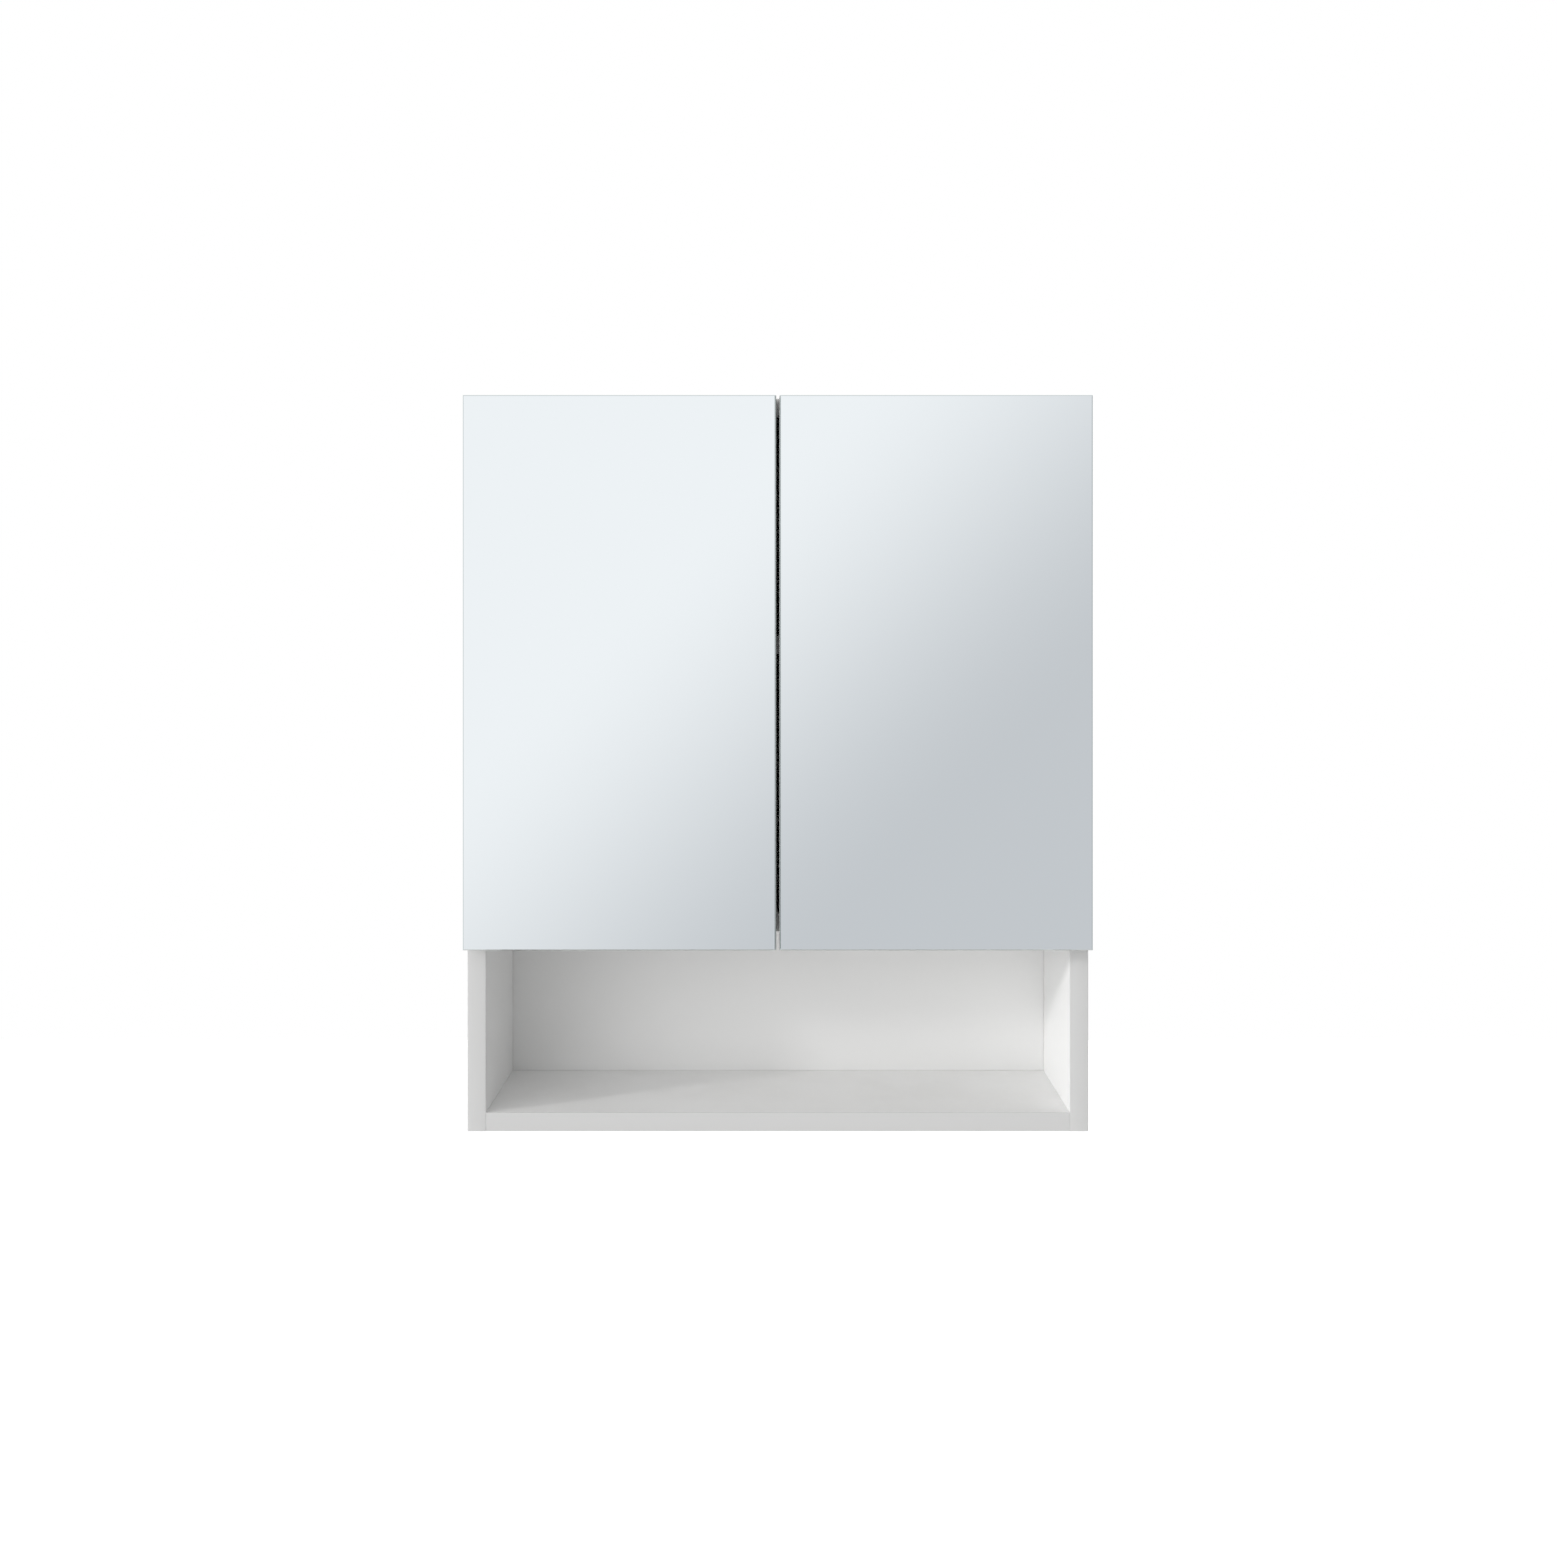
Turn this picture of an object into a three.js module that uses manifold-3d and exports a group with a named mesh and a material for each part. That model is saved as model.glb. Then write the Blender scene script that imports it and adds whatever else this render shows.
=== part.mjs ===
// A hanging bathroom cabinet: two mirrored doors on cup hinges over an open niche.
// Millimetres, +Z up, front towards -Y. The origin lies on the wall plane, on the centre line,
// at the height where the two hanger hooks bear on their wall plates.
import * as THREE from "three";
import { mergeVertices } from "three/addons/utils/BufferGeometryUtils.js";
import Module from "manifold-3d";

const wasm = await Module();
wasm.setup();

// ---- driving dimensions ----

// Carcass
const WIDTH = 600;
const HEIGHT = 708;
const DEPTH = 152;
const BOARD = 18;
const NICHE_HEIGHT = 175;
const HOOK_BELOW_TOP = 38;
const BACK_THICK = 3;
const BACK_RECESS = 17;
const GROOVE_DEPTH = 6;

// Shelf
const SHELF_BELOW_TOP = 229;
const SHELF_SETBACK = 4;
const SHELF_SIDE_PLAY = 1;
const SHELF_PIN_RADIUS = 2.5;
const SHELF_PIN_DEPTH = 8;
const SHELF_PIN_REACH = 8;
const SHELF_PIN_COLLAR = 4;
const SHELF_HOLE_PITCH = 32;
const SHELF_HOLE_STEPS = [-1, 0, 1];

// Doors
const DOOR_CORE = 16;
const MIRROR_THICK = 4;
const MIRROR_INSET = 0.5;
const MIRROR_ARRIS = 1;
const DOOR_BACK_GAP = 2;
const DOOR_MIDDLE_GAP = 3;
const DOOR_OVERHANG = 14;
const BUMPER_RADIUS = 4;
const BUMPER_FROM_DOOR_EDGE = 22;

// Cup hinges. Points lie in the hinge's own plane: x inwards from the side panel's inner face,
// y backwards from the carcass front edges.
const SYSTEM_ROW = 37;
const HINGE_FROM_DOOR_END = 95;
const CUP_RADIUS = 17.5;
const CUP_DEPTH = 11.5;
const CUP_WALL = 1;
const CUP_FLOOR = 0.8;
const CUP_CENTRE = 4.5;
const CUP_FLANGE_THICK = 1.2;
const CUP_FLANGE_RIM = 2.5;
const CUP_EAR_SPAN = 48;
const CUP_EAR_RADIUS = 5;
const CUP_EAR_OFFSET = 5.5;
const OUTER_LINK_ARM_PIN = [16.4, -1.4];
const OUTER_LINK_ELBOW = [2.6, -6.2];
const OUTER_LINK_CUP_PIN = [-6.2, -4.2];
const INNER_LINK_ARM_PIN = [14.8, -9.8];
const INNER_LINK_CUP_END = [-7.5, -10];
const PIN_RADIUS = 1.2;
const LINK_EDGE = 2.1;
const INNER_LINK_EDGE = 2;
const INNER_LINK_TIP = 1.4;
const INNER_LINK_HALF = 2.6;
const LINK_WEB = 1.2;
const LINK_WEB_SHARE = [0.2, 0.5];
const OUTER_LINK_INSIDE = 3.1;
const OUTER_LINK_HALF = 4.6;
const ARM_INSIDE = 5;
const ARM_HALF = 6.4;
const ARM_FROM_BOARD = 2.3;
const ARM_WEB_AT = 12;
const ARM_METAL = 1.4;
const ARM_START = 4;
const ARM_LENGTH = 60;
const PLATE_THICK = 2;
const PLATE_HALF_HEIGHT = 22;
const PLATE_WING_HALF = 8.5;
const PLATE_RIB_HALF = 4.2;
const PLATE_RIB_START = 20;
const PLATE_RIB_LENGTH = 42;
const PLATE_SCREW_PITCH = 32;
const PLATE_SCREW_HOLE = 2.4;

// Cam fittings
const CAM_RADIUS = 7.5;
const CAM_HEIGHT = 13.5;
const CAM_FROM_END = 34;
const CAM_SLOT_WIDTH = 1.6;
const CAM_SLOT_DEPTH = 1.5;
const BOLT_RADIUS = 3.5;
const BOLT_TIP_RADIUS = 2.5;
const BOLT_TIP_LENGTH = 11;
const CAM_FROM_FRONT = 32;
const CAM_FROM_BACK = 50;

// Hangers
const HOUSING_WIDTH = 18;
const HOUSING_DEPTH = 42;
const HOUSING_HEIGHT = 62;
const HOUSING_BELOW_TOP = 20;
const HOUSING_WALL = 2;
const HOOK_THICK = 3;
const HOOK_PLATE_HEIGHT = 34;
const HOOK_PLATE_LENGTH = 32;
const HOOK_BAR_HEIGHT = 7;
const HOOK_TONGUE = 11;
const HOOK_TONGUE_THICK = 2.6;
const HOOK_TRAVEL = 6;
const WALL_PLATE_WIDTH = 40;
const WALL_PLATE_HEIGHT = 44;
const WALL_PLATE_METAL = 2.5;
const WALL_PLATE_STAND_OFF = 5;
const WALL_PLATE_LIP = 16;
const WALL_PLATE_HOLE = 3;
const ADJUSTER_RADIUS = 2.5;
const ADJUSTER_HEAD_RADIUS = 4;
const ADJUSTER_HEAD = 2;
const ADJUSTER_LENGTH = 18;

// Clearance between pieces that fit into one another
const FIT = 0.3;
// Sides of small round pieces, of link pins and of the cups
const SIDES = 12;
const PIN_SIDES = 8;
const CUP_SIDES = 32;

// ---- derived levels and planes ----

const TOP = HOOK_BELOW_TOP;
const BOTTOM = TOP - HEIGHT;
const FRONT = -DEPTH;
const SIDE_INNER = WIDTH / 2 - BOARD;
const BACK_REAR = -BACK_RECESS;
const BACK_FRONT = BACK_REAR - BACK_THICK;
const TOP_UNDERSIDE = TOP - BOARD;
const BOTTOM_UPPER = BOTTOM + BOARD;
const DIVIDER_UNDERSIDE = BOTTOM_UPPER + NICHE_HEIGHT;
const DIVIDER_UPPER = DIVIDER_UNDERSIDE + BOARD;
const SHELF_UPPER = TOP - SHELF_BELOW_TOP;
const SHELF_UNDERSIDE = SHELF_UPPER - BOARD;
const SHELF_PIN_LEVEL = SHELF_UNDERSIDE - FIT - SHELF_PIN_RADIUS;
const DOOR_BACK = FRONT - DOOR_BACK_GAP;
const DOOR_FRONT = DOOR_BACK - DOOR_CORE;
const MIRROR_FRONT = DOOR_FRONT - MIRROR_THICK;
const DOOR_BOTTOM = DIVIDER_UNDERSIDE - DOOR_OVERHANG;
const HINGE_LEVELS = { upper: TOP - HINGE_FROM_DOOR_END, lower: DOOR_BOTTOM + HINGE_FROM_DOOR_END };
const FRONT_ROW = FRONT + SYSTEM_ROW;
const REAR_ROW = BACK_FRONT - SYSTEM_ROW;

// ---- finishes ----

const finish = (color, roughness, metalness) =>
  new THREE.MeshStandardMaterial({ color, roughness, metalness, flatShading: true });
const MELAMINE = finish(0xeeeeec, 0.45, 0);
const HARDBOARD = finish(0xe9e9e7, 0.6, 0);
const MIRROR = finish(0xdde5e8, 0.04, 1);
const NICKEL = finish(0xc4c3bf, 0.3, 1);
const ZINC = finish(0xb4b7ba, 0.4, 1);
const WHITE_PLASTIC = finish(0xe6e6e4, 0.5, 0);
const SOFT_CLEAR = finish(0xdfe3e4, 0.35, 0);

// ---- shapes ----

// A closed geometry as a solid that can be joined and cut.
function solid(geometry) {
  const bare = geometry.clone();
  bare.deleteAttribute("normal");
  bare.deleteAttribute("uv");
  const merged = mergeVertices(bare, 1e-4);
  const vertProperties = merged.attributes.position.array;
  const triVerts = new Uint32Array(merged.index.array);
  return new wasm.Manifold(new wasm.Mesh({ numProp: 3, vertProperties, triVerts }));
}

// A solid back as a geometry.
function geometryOf(body) {
  const mesh = body.getMesh();
  const geometry = new THREE.BufferGeometry();
  geometry.setAttribute("position", new THREE.BufferAttribute(mesh.vertProperties, 3));
  geometry.setIndex(new THREE.BufferAttribute(mesh.triVerts, 1));
  geometry.computeVertexNormals();
  return geometry;
}

const joined = (...pieces) => geometryOf(pieces.map(solid).reduce((whole, piece) => whole.add(piece)));

function cut(base, holes) {
  return geometryOf(holes.map(solid).reduce((left, hole) => left.subtract(hole), solid(base)));
}

// A block between two corners, its faces exactly on the values given.
function block(low, high) {
  const geometry = new THREE.BoxGeometry(1, 1, 1);
  const position = geometry.attributes.position;
  for (let i = 0; i < position.count; i += 1) {
    const corner = [position.getX(i), position.getY(i), position.getZ(i)];
    position.setXYZ(i, ...corner.map((side, axis) => (side < 0 ? low[axis] : high[axis])));
  }
  return geometry;
}

// A round bar from a point, of a length along the axis named.
function rod(radius, start, axis, length, sides = SIDES) {
  const geometry = new THREE.CylinderGeometry(radius, radius, Math.abs(length), sides);
  geometry.translate(0, length / 2, 0);
  if (axis === "x") geometry.rotateZ(-Math.PI / 2);
  if (axis === "z") geometry.rotateX(Math.PI / 2);
  return geometry.translate(...start);
}

// A flat outline carried upwards between two heights.
function slab(shape, low, high) {
  const geometry = new THREE.ExtrudeGeometry(shape, {
    depth: high - low,
    bevelEnabled: false,
    curveSegments: SIDES / 2,
  });
  return geometry.translate(0, 0, low);
}

const outline = (points) => new THREE.Shape(points.map(([x, y]) => new THREE.Vector2(x, y)));

// A bar's outline between two points, with a round end of its own radius at each.
function tapered(from, to, fromRadius, toRadius) {
  const along = Math.atan2(to[1] - from[1], to[0] - from[0]);
  const span = Math.hypot(to[0] - from[0], to[1] - from[1]);
  const lean = Math.acos((fromRadius - toRadius) / span);
  const shape = new THREE.Shape();
  shape.absarc(...to, toRadius, along - lean, along + lean, false);
  shape.absarc(...from, fromRadius, along + lean, along - lean + 2 * Math.PI, false);
  shape.closePath();
  return shape;
}

// The strip beside the line between two points, from one sideways offset to another.
function strip(from, to, startShare, endShare, nearOffset, farOffset) {
  const dx = to[0] - from[0];
  const dy = to[1] - from[1];
  const span = Math.hypot(dx, dy);
  const at = (share, offset) => [
    from[0] + dx * share - (dy / span) * offset,
    from[1] + dy * share + (dx / span) * offset,
  ];
  return outline([
    at(startShare, nearOffset),
    at(endShare, nearOffset),
    at(endShare, farOffset),
    at(startShare, farOffset),
  ]);
}

const cabinet = new THREE.Group();

function place(name, geometry, material, parent = cabinet) {
  const mesh = new THREE.Mesh(geometry, material);
  mesh.name = name;
  parent.add(mesh);
}

// Pieces that come in pairs are made for the left side, then mirrored across the centre plane.
const SIDE_SIGNS = { left: 1, right: -1 };

function sideGroup(side) {
  const group = new THREE.Group();
  group.scale.x = SIDE_SIGNS[side];
  cabinet.add(group);
  return group;
}

// ---- cam fittings: each cam sits in a pocket of a level panel, its bolt runs into the side ----

const CAM_PANELS = {
  top: { middle: TOP - BOARD / 2, face: TOP, up: 1 },
  divider: { middle: DIVIDER_UPPER - BOARD / 2, face: DIVIDER_UPPER, up: 1 },
  bottom: { middle: BOTTOM + BOARD / 2, face: BOTTOM, up: -1 },
};
const CAM_ROWS = { front: FRONT + CAM_FROM_FRONT, rear: BACK_REAR - CAM_FROM_BACK };
const CAM_X = -SIDE_INNER + CAM_FROM_END;
const BOLT_START = -SIDE_INNER;

function camBolt(panel, y) {
  const top = panel.face - panel.up * FIT;
  const low = panel.up > 0 ? top - CAM_HEIGHT : top;
  const slotTop = panel.up > 0 ? top + 1 : top + CAM_SLOT_DEPTH;
  const drive = block(
    [CAM_X - CAM_RADIUS / 2, y - CAM_SLOT_WIDTH / 2, slotTop - CAM_SLOT_DEPTH - 1],
    [CAM_X + CAM_RADIUS / 2, y + CAM_SLOT_WIDTH / 2, slotTop],
  );
  const cam = cut(rod(CAM_RADIUS, [CAM_X, y, low], "z", CAM_HEIGHT), [drive]);
  const shank = rod(BOLT_RADIUS, [BOLT_START, y, panel.middle], "x", CAM_FROM_END - 1);
  const tipStart = [BOLT_START - BOLT_TIP_LENGTH, y, panel.middle];
  const tip = rod(BOLT_TIP_RADIUS, tipStart, "x", BOLT_TIP_LENGTH + 1);
  return joined(cam, shank, tip);
}

// The pockets and bolt holes that a level panel needs at one end.
function camPockets(panel, sign) {
  const pocket = CAM_HEIGHT + 2 * FIT;
  const low = panel.up > 0 ? panel.face - pocket : panel.face - 1;
  return Object.values(CAM_ROWS).flatMap((y) => [
    rod(CAM_RADIUS + FIT, [sign * CAM_X, y, low], "z", pocket + 1),
    rod(BOLT_RADIUS + FIT, [sign * (BOLT_START - 1), y, panel.middle], "x", sign * CAM_FROM_END),
  ]);
}

for (const [panelName, panel] of Object.entries(CAM_PANELS)) {
  for (const [rowName, y] of Object.entries(CAM_ROWS)) {
    for (const side of Object.keys(SIDE_SIGNS)) {
      place(`cam_bolt_${panelName}_${rowName}_${side}`, camBolt(panel, y), ZINC, sideGroup(side));
    }
  }
}

// ---- carcass boards ----

const GROOVE_FRONT = BACK_FRONT - FIT;
const GROOVE_REAR = BACK_REAR + FIT;

function sidePanel() {
  const bolts = Object.values(CAM_PANELS).flatMap((panel) =>
    Object.values(CAM_ROWS).map((y) =>
      rod(BOLT_TIP_RADIUS + FIT, [-SIDE_INNER + 1, y, panel.middle], "x", -(BOLT_TIP_LENGTH + FIT + 1)),
    ),
  );
  const pinHoles = SHELF_HOLE_STEPS.flatMap((step) =>
    [FRONT_ROW, REAR_ROW].map((y) => {
      const start = [-SIDE_INNER + 1, y, SHELF_PIN_LEVEL + step * SHELF_HOLE_PITCH];
      return rod(SHELF_PIN_RADIUS + FIT, start, "x", -(SHELF_PIN_DEPTH + FIT + 1));
    }),
  );
  const groove = block(
    [-SIDE_INNER - GROOVE_DEPTH, GROOVE_FRONT, BOTTOM_UPPER - GROOVE_DEPTH],
    [-SIDE_INNER + 1, GROOVE_REAR, TOP_UNDERSIDE + GROOVE_DEPTH],
  );
  return cut(block([-WIDTH / 2, FRONT, BOTTOM], [-SIDE_INNER, 0, TOP]), [...bolts, ...pinHoles, groove]);
}

function levelPanel(panel, low, high, rear, grooved) {
  const holes = [...camPockets(panel, 1), ...camPockets(panel, -1)];
  if (grooved) {
    const grooveLow = panel.up > 0 ? low - 1 : high - GROOVE_DEPTH;
    holes.push(
      block(
        [-SIDE_INNER - 1, GROOVE_FRONT, grooveLow],
        [SIDE_INNER + 1, GROOVE_REAR, grooveLow + GROOVE_DEPTH + 1],
      ),
    );
  }
  return cut(block([-SIDE_INNER, FRONT, low], [SIDE_INNER, rear, high]), holes);
}

for (const side of Object.keys(SIDE_SIGNS)) {
  place(`side_panel_${side}`, sidePanel(), MELAMINE, sideGroup(side));
}
place("top_panel", levelPanel(CAM_PANELS.top, TOP_UNDERSIDE, TOP, 0, true), MELAMINE);
place(
  "divider_panel",
  levelPanel(CAM_PANELS.divider, DIVIDER_UNDERSIDE, DIVIDER_UPPER, BACK_FRONT - FIT, false),
  MELAMINE,
);
place("bottom_panel", levelPanel(CAM_PANELS.bottom, BOTTOM, BOTTOM_UPPER, 0, true), MELAMINE);
place(
  "shelf",
  block(
    [-SIDE_INNER + SHELF_SIDE_PLAY, FRONT + SHELF_SETBACK, SHELF_UNDERSIDE],
    [SIDE_INNER - SHELF_SIDE_PLAY, BACK_FRONT - FIT, SHELF_UPPER],
  ),
  MELAMINE,
);

// ---- shelf pins: a stub in the side panel, a collar against it and a flat tongue under the shelf ----

function shelfPin(y) {
  const inner = -SIDE_INNER;
  const stub = rod(SHELF_PIN_RADIUS, [inner - SHELF_PIN_DEPTH, y, SHELF_PIN_LEVEL], "x", SHELF_PIN_DEPTH + 1);
  const collar = rod(SHELF_PIN_COLLAR, [inner + FIT, y, SHELF_PIN_LEVEL], "x", 1);
  const tongue = rod(SHELF_PIN_RADIUS, [inner + FIT, y, SHELF_PIN_LEVEL], "x", SHELF_PIN_REACH);
  const aboveSeat = block(
    [inner - 1, y - SHELF_PIN_COLLAR - 1, SHELF_UNDERSIDE - FIT],
    [inner + SHELF_PIN_REACH + 1, y + SHELF_PIN_COLLAR + 1, SHELF_UNDERSIDE + SHELF_PIN_COLLAR],
  );
  return cut(joined(stub, collar, tongue), [aboveSeat]);
}

for (const side of Object.keys(SIDE_SIGNS)) {
  place(`shelf_pin_front_${side}`, shelfPin(FRONT_ROW), ZINC, sideGroup(side));
  place(`shelf_pin_rear_${side}`, shelfPin(REAR_ROW), ZINC, sideGroup(side));
}

// ---- hangers: a housing in each upper corner, a hook through the back panel, a plate on the wall ----

const HOUSING_TOP = TOP - HOUSING_BELOW_TOP;
const HOUSING_BOTTOM = HOUSING_TOP - HOUSING_HEIGHT;
const HOUSING_FRONT = BACK_FRONT - FIT - HOUSING_DEPTH;
const HOOK_LOW_X = -SIDE_INNER + HOUSING_WIDTH / 2 - HOOK_THICK / 2;
const HOOK_HIGH_X = HOOK_LOW_X + HOOK_THICK;
const HOOK_MIDDLE_X = (HOOK_LOW_X + HOOK_HIGH_X) / 2;
const LIP_BACK = -WALL_PLATE_STAND_OFF;
const TONGUE_FRONT = LIP_BACK + FIT;
const ADJUSTER_LEVEL = HOUSING_BOTTOM + HOUSING_WALL + ADJUSTER_RADIUS + 1;

function housing() {
  const shell = block(
    [-SIDE_INNER, HOUSING_FRONT, HOUSING_BOTTOM],
    [-SIDE_INNER + HOUSING_WIDTH, BACK_FRONT - FIT, HOUSING_TOP],
  );
  const guide = block(
    [HOOK_LOW_X - FIT, HOUSING_FRONT + HOUSING_WALL, HOUSING_BOTTOM + HOUSING_WALL],
    [HOOK_HIGH_X + FIT, BACK_FRONT + 1, HOUSING_TOP - HOUSING_WALL],
  );
  const screwHole = rod(
    ADJUSTER_RADIUS + FIT,
    [HOOK_MIDDLE_X, HOUSING_FRONT - 1, ADJUSTER_LEVEL],
    "y",
    ADJUSTER_LENGTH + 2,
  );
  return cut(shell, [guide, screwHole]);
}

// The hook's slot in the back panel, tall enough for the height adjustment.
function hookSlot(sign) {
  const low = Math.min(sign * (HOOK_LOW_X - 1), sign * (HOOK_HIGH_X + 1));
  return block(
    [low, BACK_FRONT - 1, -HOOK_TONGUE - HOOK_TRAVEL - 2],
    [low + HOOK_THICK + 2, BACK_REAR + 1, HOOK_BAR_HEIGHT + HOOK_TRAVEL + 2],
  );
}

function hook() {
  const plateRear = BACK_FRONT - FIT - HOUSING_WALL;
  const plateLow = HOOK_BAR_HEIGHT + FIT - HOOK_PLATE_HEIGHT;
  const barTop = FIT + HOOK_BAR_HEIGHT;
  const tongueRear = TONGUE_FRONT + HOOK_TONGUE_THICK;
  const plateFront = plateRear - HOOK_PLATE_LENGTH;
  const plate = block([HOOK_LOW_X, plateFront, plateLow], [HOOK_HIGH_X, plateRear, barTop]);
  const bar = block([HOOK_LOW_X, plateRear - 1, FIT], [HOOK_HIGH_X, tongueRear, barTop]);
  const tongue = block([HOOK_LOW_X, TONGUE_FRONT, -HOOK_TONGUE], [HOOK_HIGH_X, tongueRear, barTop]);
  return joined(plate, bar, tongue);
}

// Sheet steel stepped off the wall, so that its upper lip leaves room for the hook's tongue.
function wallPlate() {
  const stepTop = -WALL_PLATE_LIP;
  const stepLow = stepTop - WALL_PLATE_STAND_OFF;
  const section = outline([
    [0, -WALL_PLATE_HEIGHT],
    [0, stepLow],
    [LIP_BACK, stepTop],
    [LIP_BACK, 0],
    [LIP_BACK - WALL_PLATE_METAL, 0],
    [LIP_BACK - WALL_PLATE_METAL, stepTop - 1],
    [-WALL_PLATE_METAL, stepLow - 1],
    [-WALL_PLATE_METAL, -WALL_PLATE_HEIGHT],
  ]);
  const plate = slab(section, -WALL_PLATE_WIDTH / 2, WALL_PLATE_WIDTH / 2);
  // The section's x and y become the cabinet's y and z.
  plate.applyMatrix4(new THREE.Matrix4().set(0, 0, 1, 0, 1, 0, 0, 0, 0, 1, 0, 0, 0, 0, 0, 1));
  plate.translate(WALL_PLATE_X, 0, 0);
  const screwLevel = (-WALL_PLATE_HEIGHT + stepLow) / 2;
  const holes = [-1, 1].map((way) => {
    const start = [WALL_PLATE_X + (way * WALL_PLATE_WIDTH) / 4, -WALL_PLATE_METAL - 1, screwLevel];
    return rod(WALL_PLATE_HOLE, start, "y", WALL_PLATE_METAL + 2);
  });
  return cut(plate, holes);
}

function adjuster() {
  const headBack = HOUSING_FRONT - FIT;
  const head = rod(ADJUSTER_HEAD_RADIUS, [HOOK_MIDDLE_X, headBack, ADJUSTER_LEVEL], "y", -ADJUSTER_HEAD);
  const shank = rod(ADJUSTER_RADIUS, [HOOK_MIDDLE_X, headBack - 1, ADJUSTER_LEVEL], "y", ADJUSTER_LENGTH);
  return joined(head, shank);
}

const WALL_PLATE_X = -SIDE_INNER + FIT + 3 + WALL_PLATE_WIDTH / 2;
for (const side of Object.keys(SIDE_SIGNS)) {
  place(`hanger_housing_${side}`, housing(), WHITE_PLASTIC, sideGroup(side));
  place(`hanger_hook_${side}`, hook(), ZINC, sideGroup(side));
  place(`wall_plate_${side}`, wallPlate(), ZINC, sideGroup(side));
  place(`hanger_adjuster_${side}`, adjuster(), ZINC, sideGroup(side));
}

const backEdge = GROOVE_DEPTH - FIT;
place(
  "back_panel",
  cut(
    block(
      [-SIDE_INNER - backEdge, BACK_FRONT, BOTTOM_UPPER - backEdge],
      [SIDE_INNER + backEdge, BACK_REAR, TOP_UNDERSIDE + backEdge],
    ),
    [hookSlot(1), hookSlot(-1)],
  ),
  HARDBOARD,
);

// ---- hinges ----

const centrePin = ([x, y], radius, half) => rod(radius, [x, y, -half], "z", 2 * half, PIN_SIDES);
const inBothCheeks = (shape, inside, half) => [slab(shape, -half, -inside), slab(shape, inside, half)];

function mountingPlate() {
  const wings = block(
    [0, SYSTEM_ROW - PLATE_WING_HALF, -PLATE_HALF_HEIGHT],
    [PLATE_THICK, SYSTEM_ROW + PLATE_WING_HALF, PLATE_HALF_HEIGHT],
  );
  const rib = block(
    [0, PLATE_RIB_START, -PLATE_RIB_HALF],
    [ARM_WEB_AT - FIT, PLATE_RIB_START + PLATE_RIB_LENGTH, PLATE_RIB_HALF],
  );
  const screws = [-1, 1].map((way) =>
    rod(PLATE_SCREW_HOLE, [-1, SYSTEM_ROW, (way * PLATE_SCREW_PITCH) / 2], "x", PLATE_THICK + 2),
  );
  return cut(joined(wings, rib), screws);
}

// A steel channel over the plate's rib, whose two cheeks reach into the cup and hold the link pins.
function hingeArm() {
  const [outerX, outerY] = OUTER_LINK_ARM_PIN;
  const [innerX, innerY] = INNER_LINK_ARM_PIN;
  const edge = LINK_EDGE + 0.2;
  const webOuter = ARM_WEB_AT + ARM_METAL;
  const end = ARM_START + ARM_LENGTH;
  const cheek = new THREE.Shape();
  cheek.moveTo(ARM_FROM_BOARD, end);
  cheek.lineTo(ARM_FROM_BOARD, ARM_START + 2);
  cheek.lineTo(innerX - edge, outerY - 1);
  cheek.absarc(innerX, innerY, edge, Math.PI, 2 * Math.PI, false);
  cheek.lineTo(outerX + edge, outerY);
  cheek.lineTo(webOuter, ARM_START + 6);
  cheek.lineTo(webOuter, end);
  cheek.closePath();
  const web = block([ARM_WEB_AT, ARM_START, -ARM_HALF], [webOuter, end, ARM_HALF]);
  return joined(
    ...inBothCheeks(cheek, ARM_INSIDE, ARM_HALF),
    web,
    centrePin(OUTER_LINK_ARM_PIN, PIN_RADIUS, ARM_HALF),
    centrePin(INNER_LINK_ARM_PIN, PIN_RADIUS, ARM_HALF),
  );
}

// Two cheeks with an elbow that clears the cup's rim when the door stands open, and a web.
function outerLink() {
  const root = tapered(OUTER_LINK_ARM_PIN, OUTER_LINK_ELBOW, LINK_EDGE, LINK_EDGE);
  const reach = tapered(OUTER_LINK_ELBOW, OUTER_LINK_CUP_PIN, LINK_EDGE, LINK_EDGE);
  const webEdges = [-LINK_EDGE, LINK_WEB - LINK_EDGE];
  const web = strip(OUTER_LINK_ARM_PIN, OUTER_LINK_ELBOW, ...LINK_WEB_SHARE, ...webEdges);
  const body = joined(
    ...inBothCheeks(root, OUTER_LINK_INSIDE, OUTER_LINK_HALF),
    ...inBothCheeks(reach, OUTER_LINK_INSIDE, OUTER_LINK_HALF),
    slab(web, -OUTER_LINK_HALF, OUTER_LINK_HALF),
  );
  const holes = [OUTER_LINK_ARM_PIN, OUTER_LINK_CUP_PIN].map((pin) =>
    centrePin(pin, PIN_RADIUS + FIT, OUTER_LINK_HALF + 1),
  );
  return cut(body, holes);
}

// A flat bar; its tip turns free in the cup.
function innerLink() {
  const bar = tapered(INNER_LINK_ARM_PIN, INNER_LINK_CUP_END, INNER_LINK_EDGE, INNER_LINK_TIP);
  const hole = centrePin(INNER_LINK_ARM_PIN, PIN_RADIUS + FIT, INNER_LINK_HALF + 1);
  return cut(slab(bar, -INNER_LINK_HALF, INNER_LINK_HALF), [hole]);
}

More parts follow.
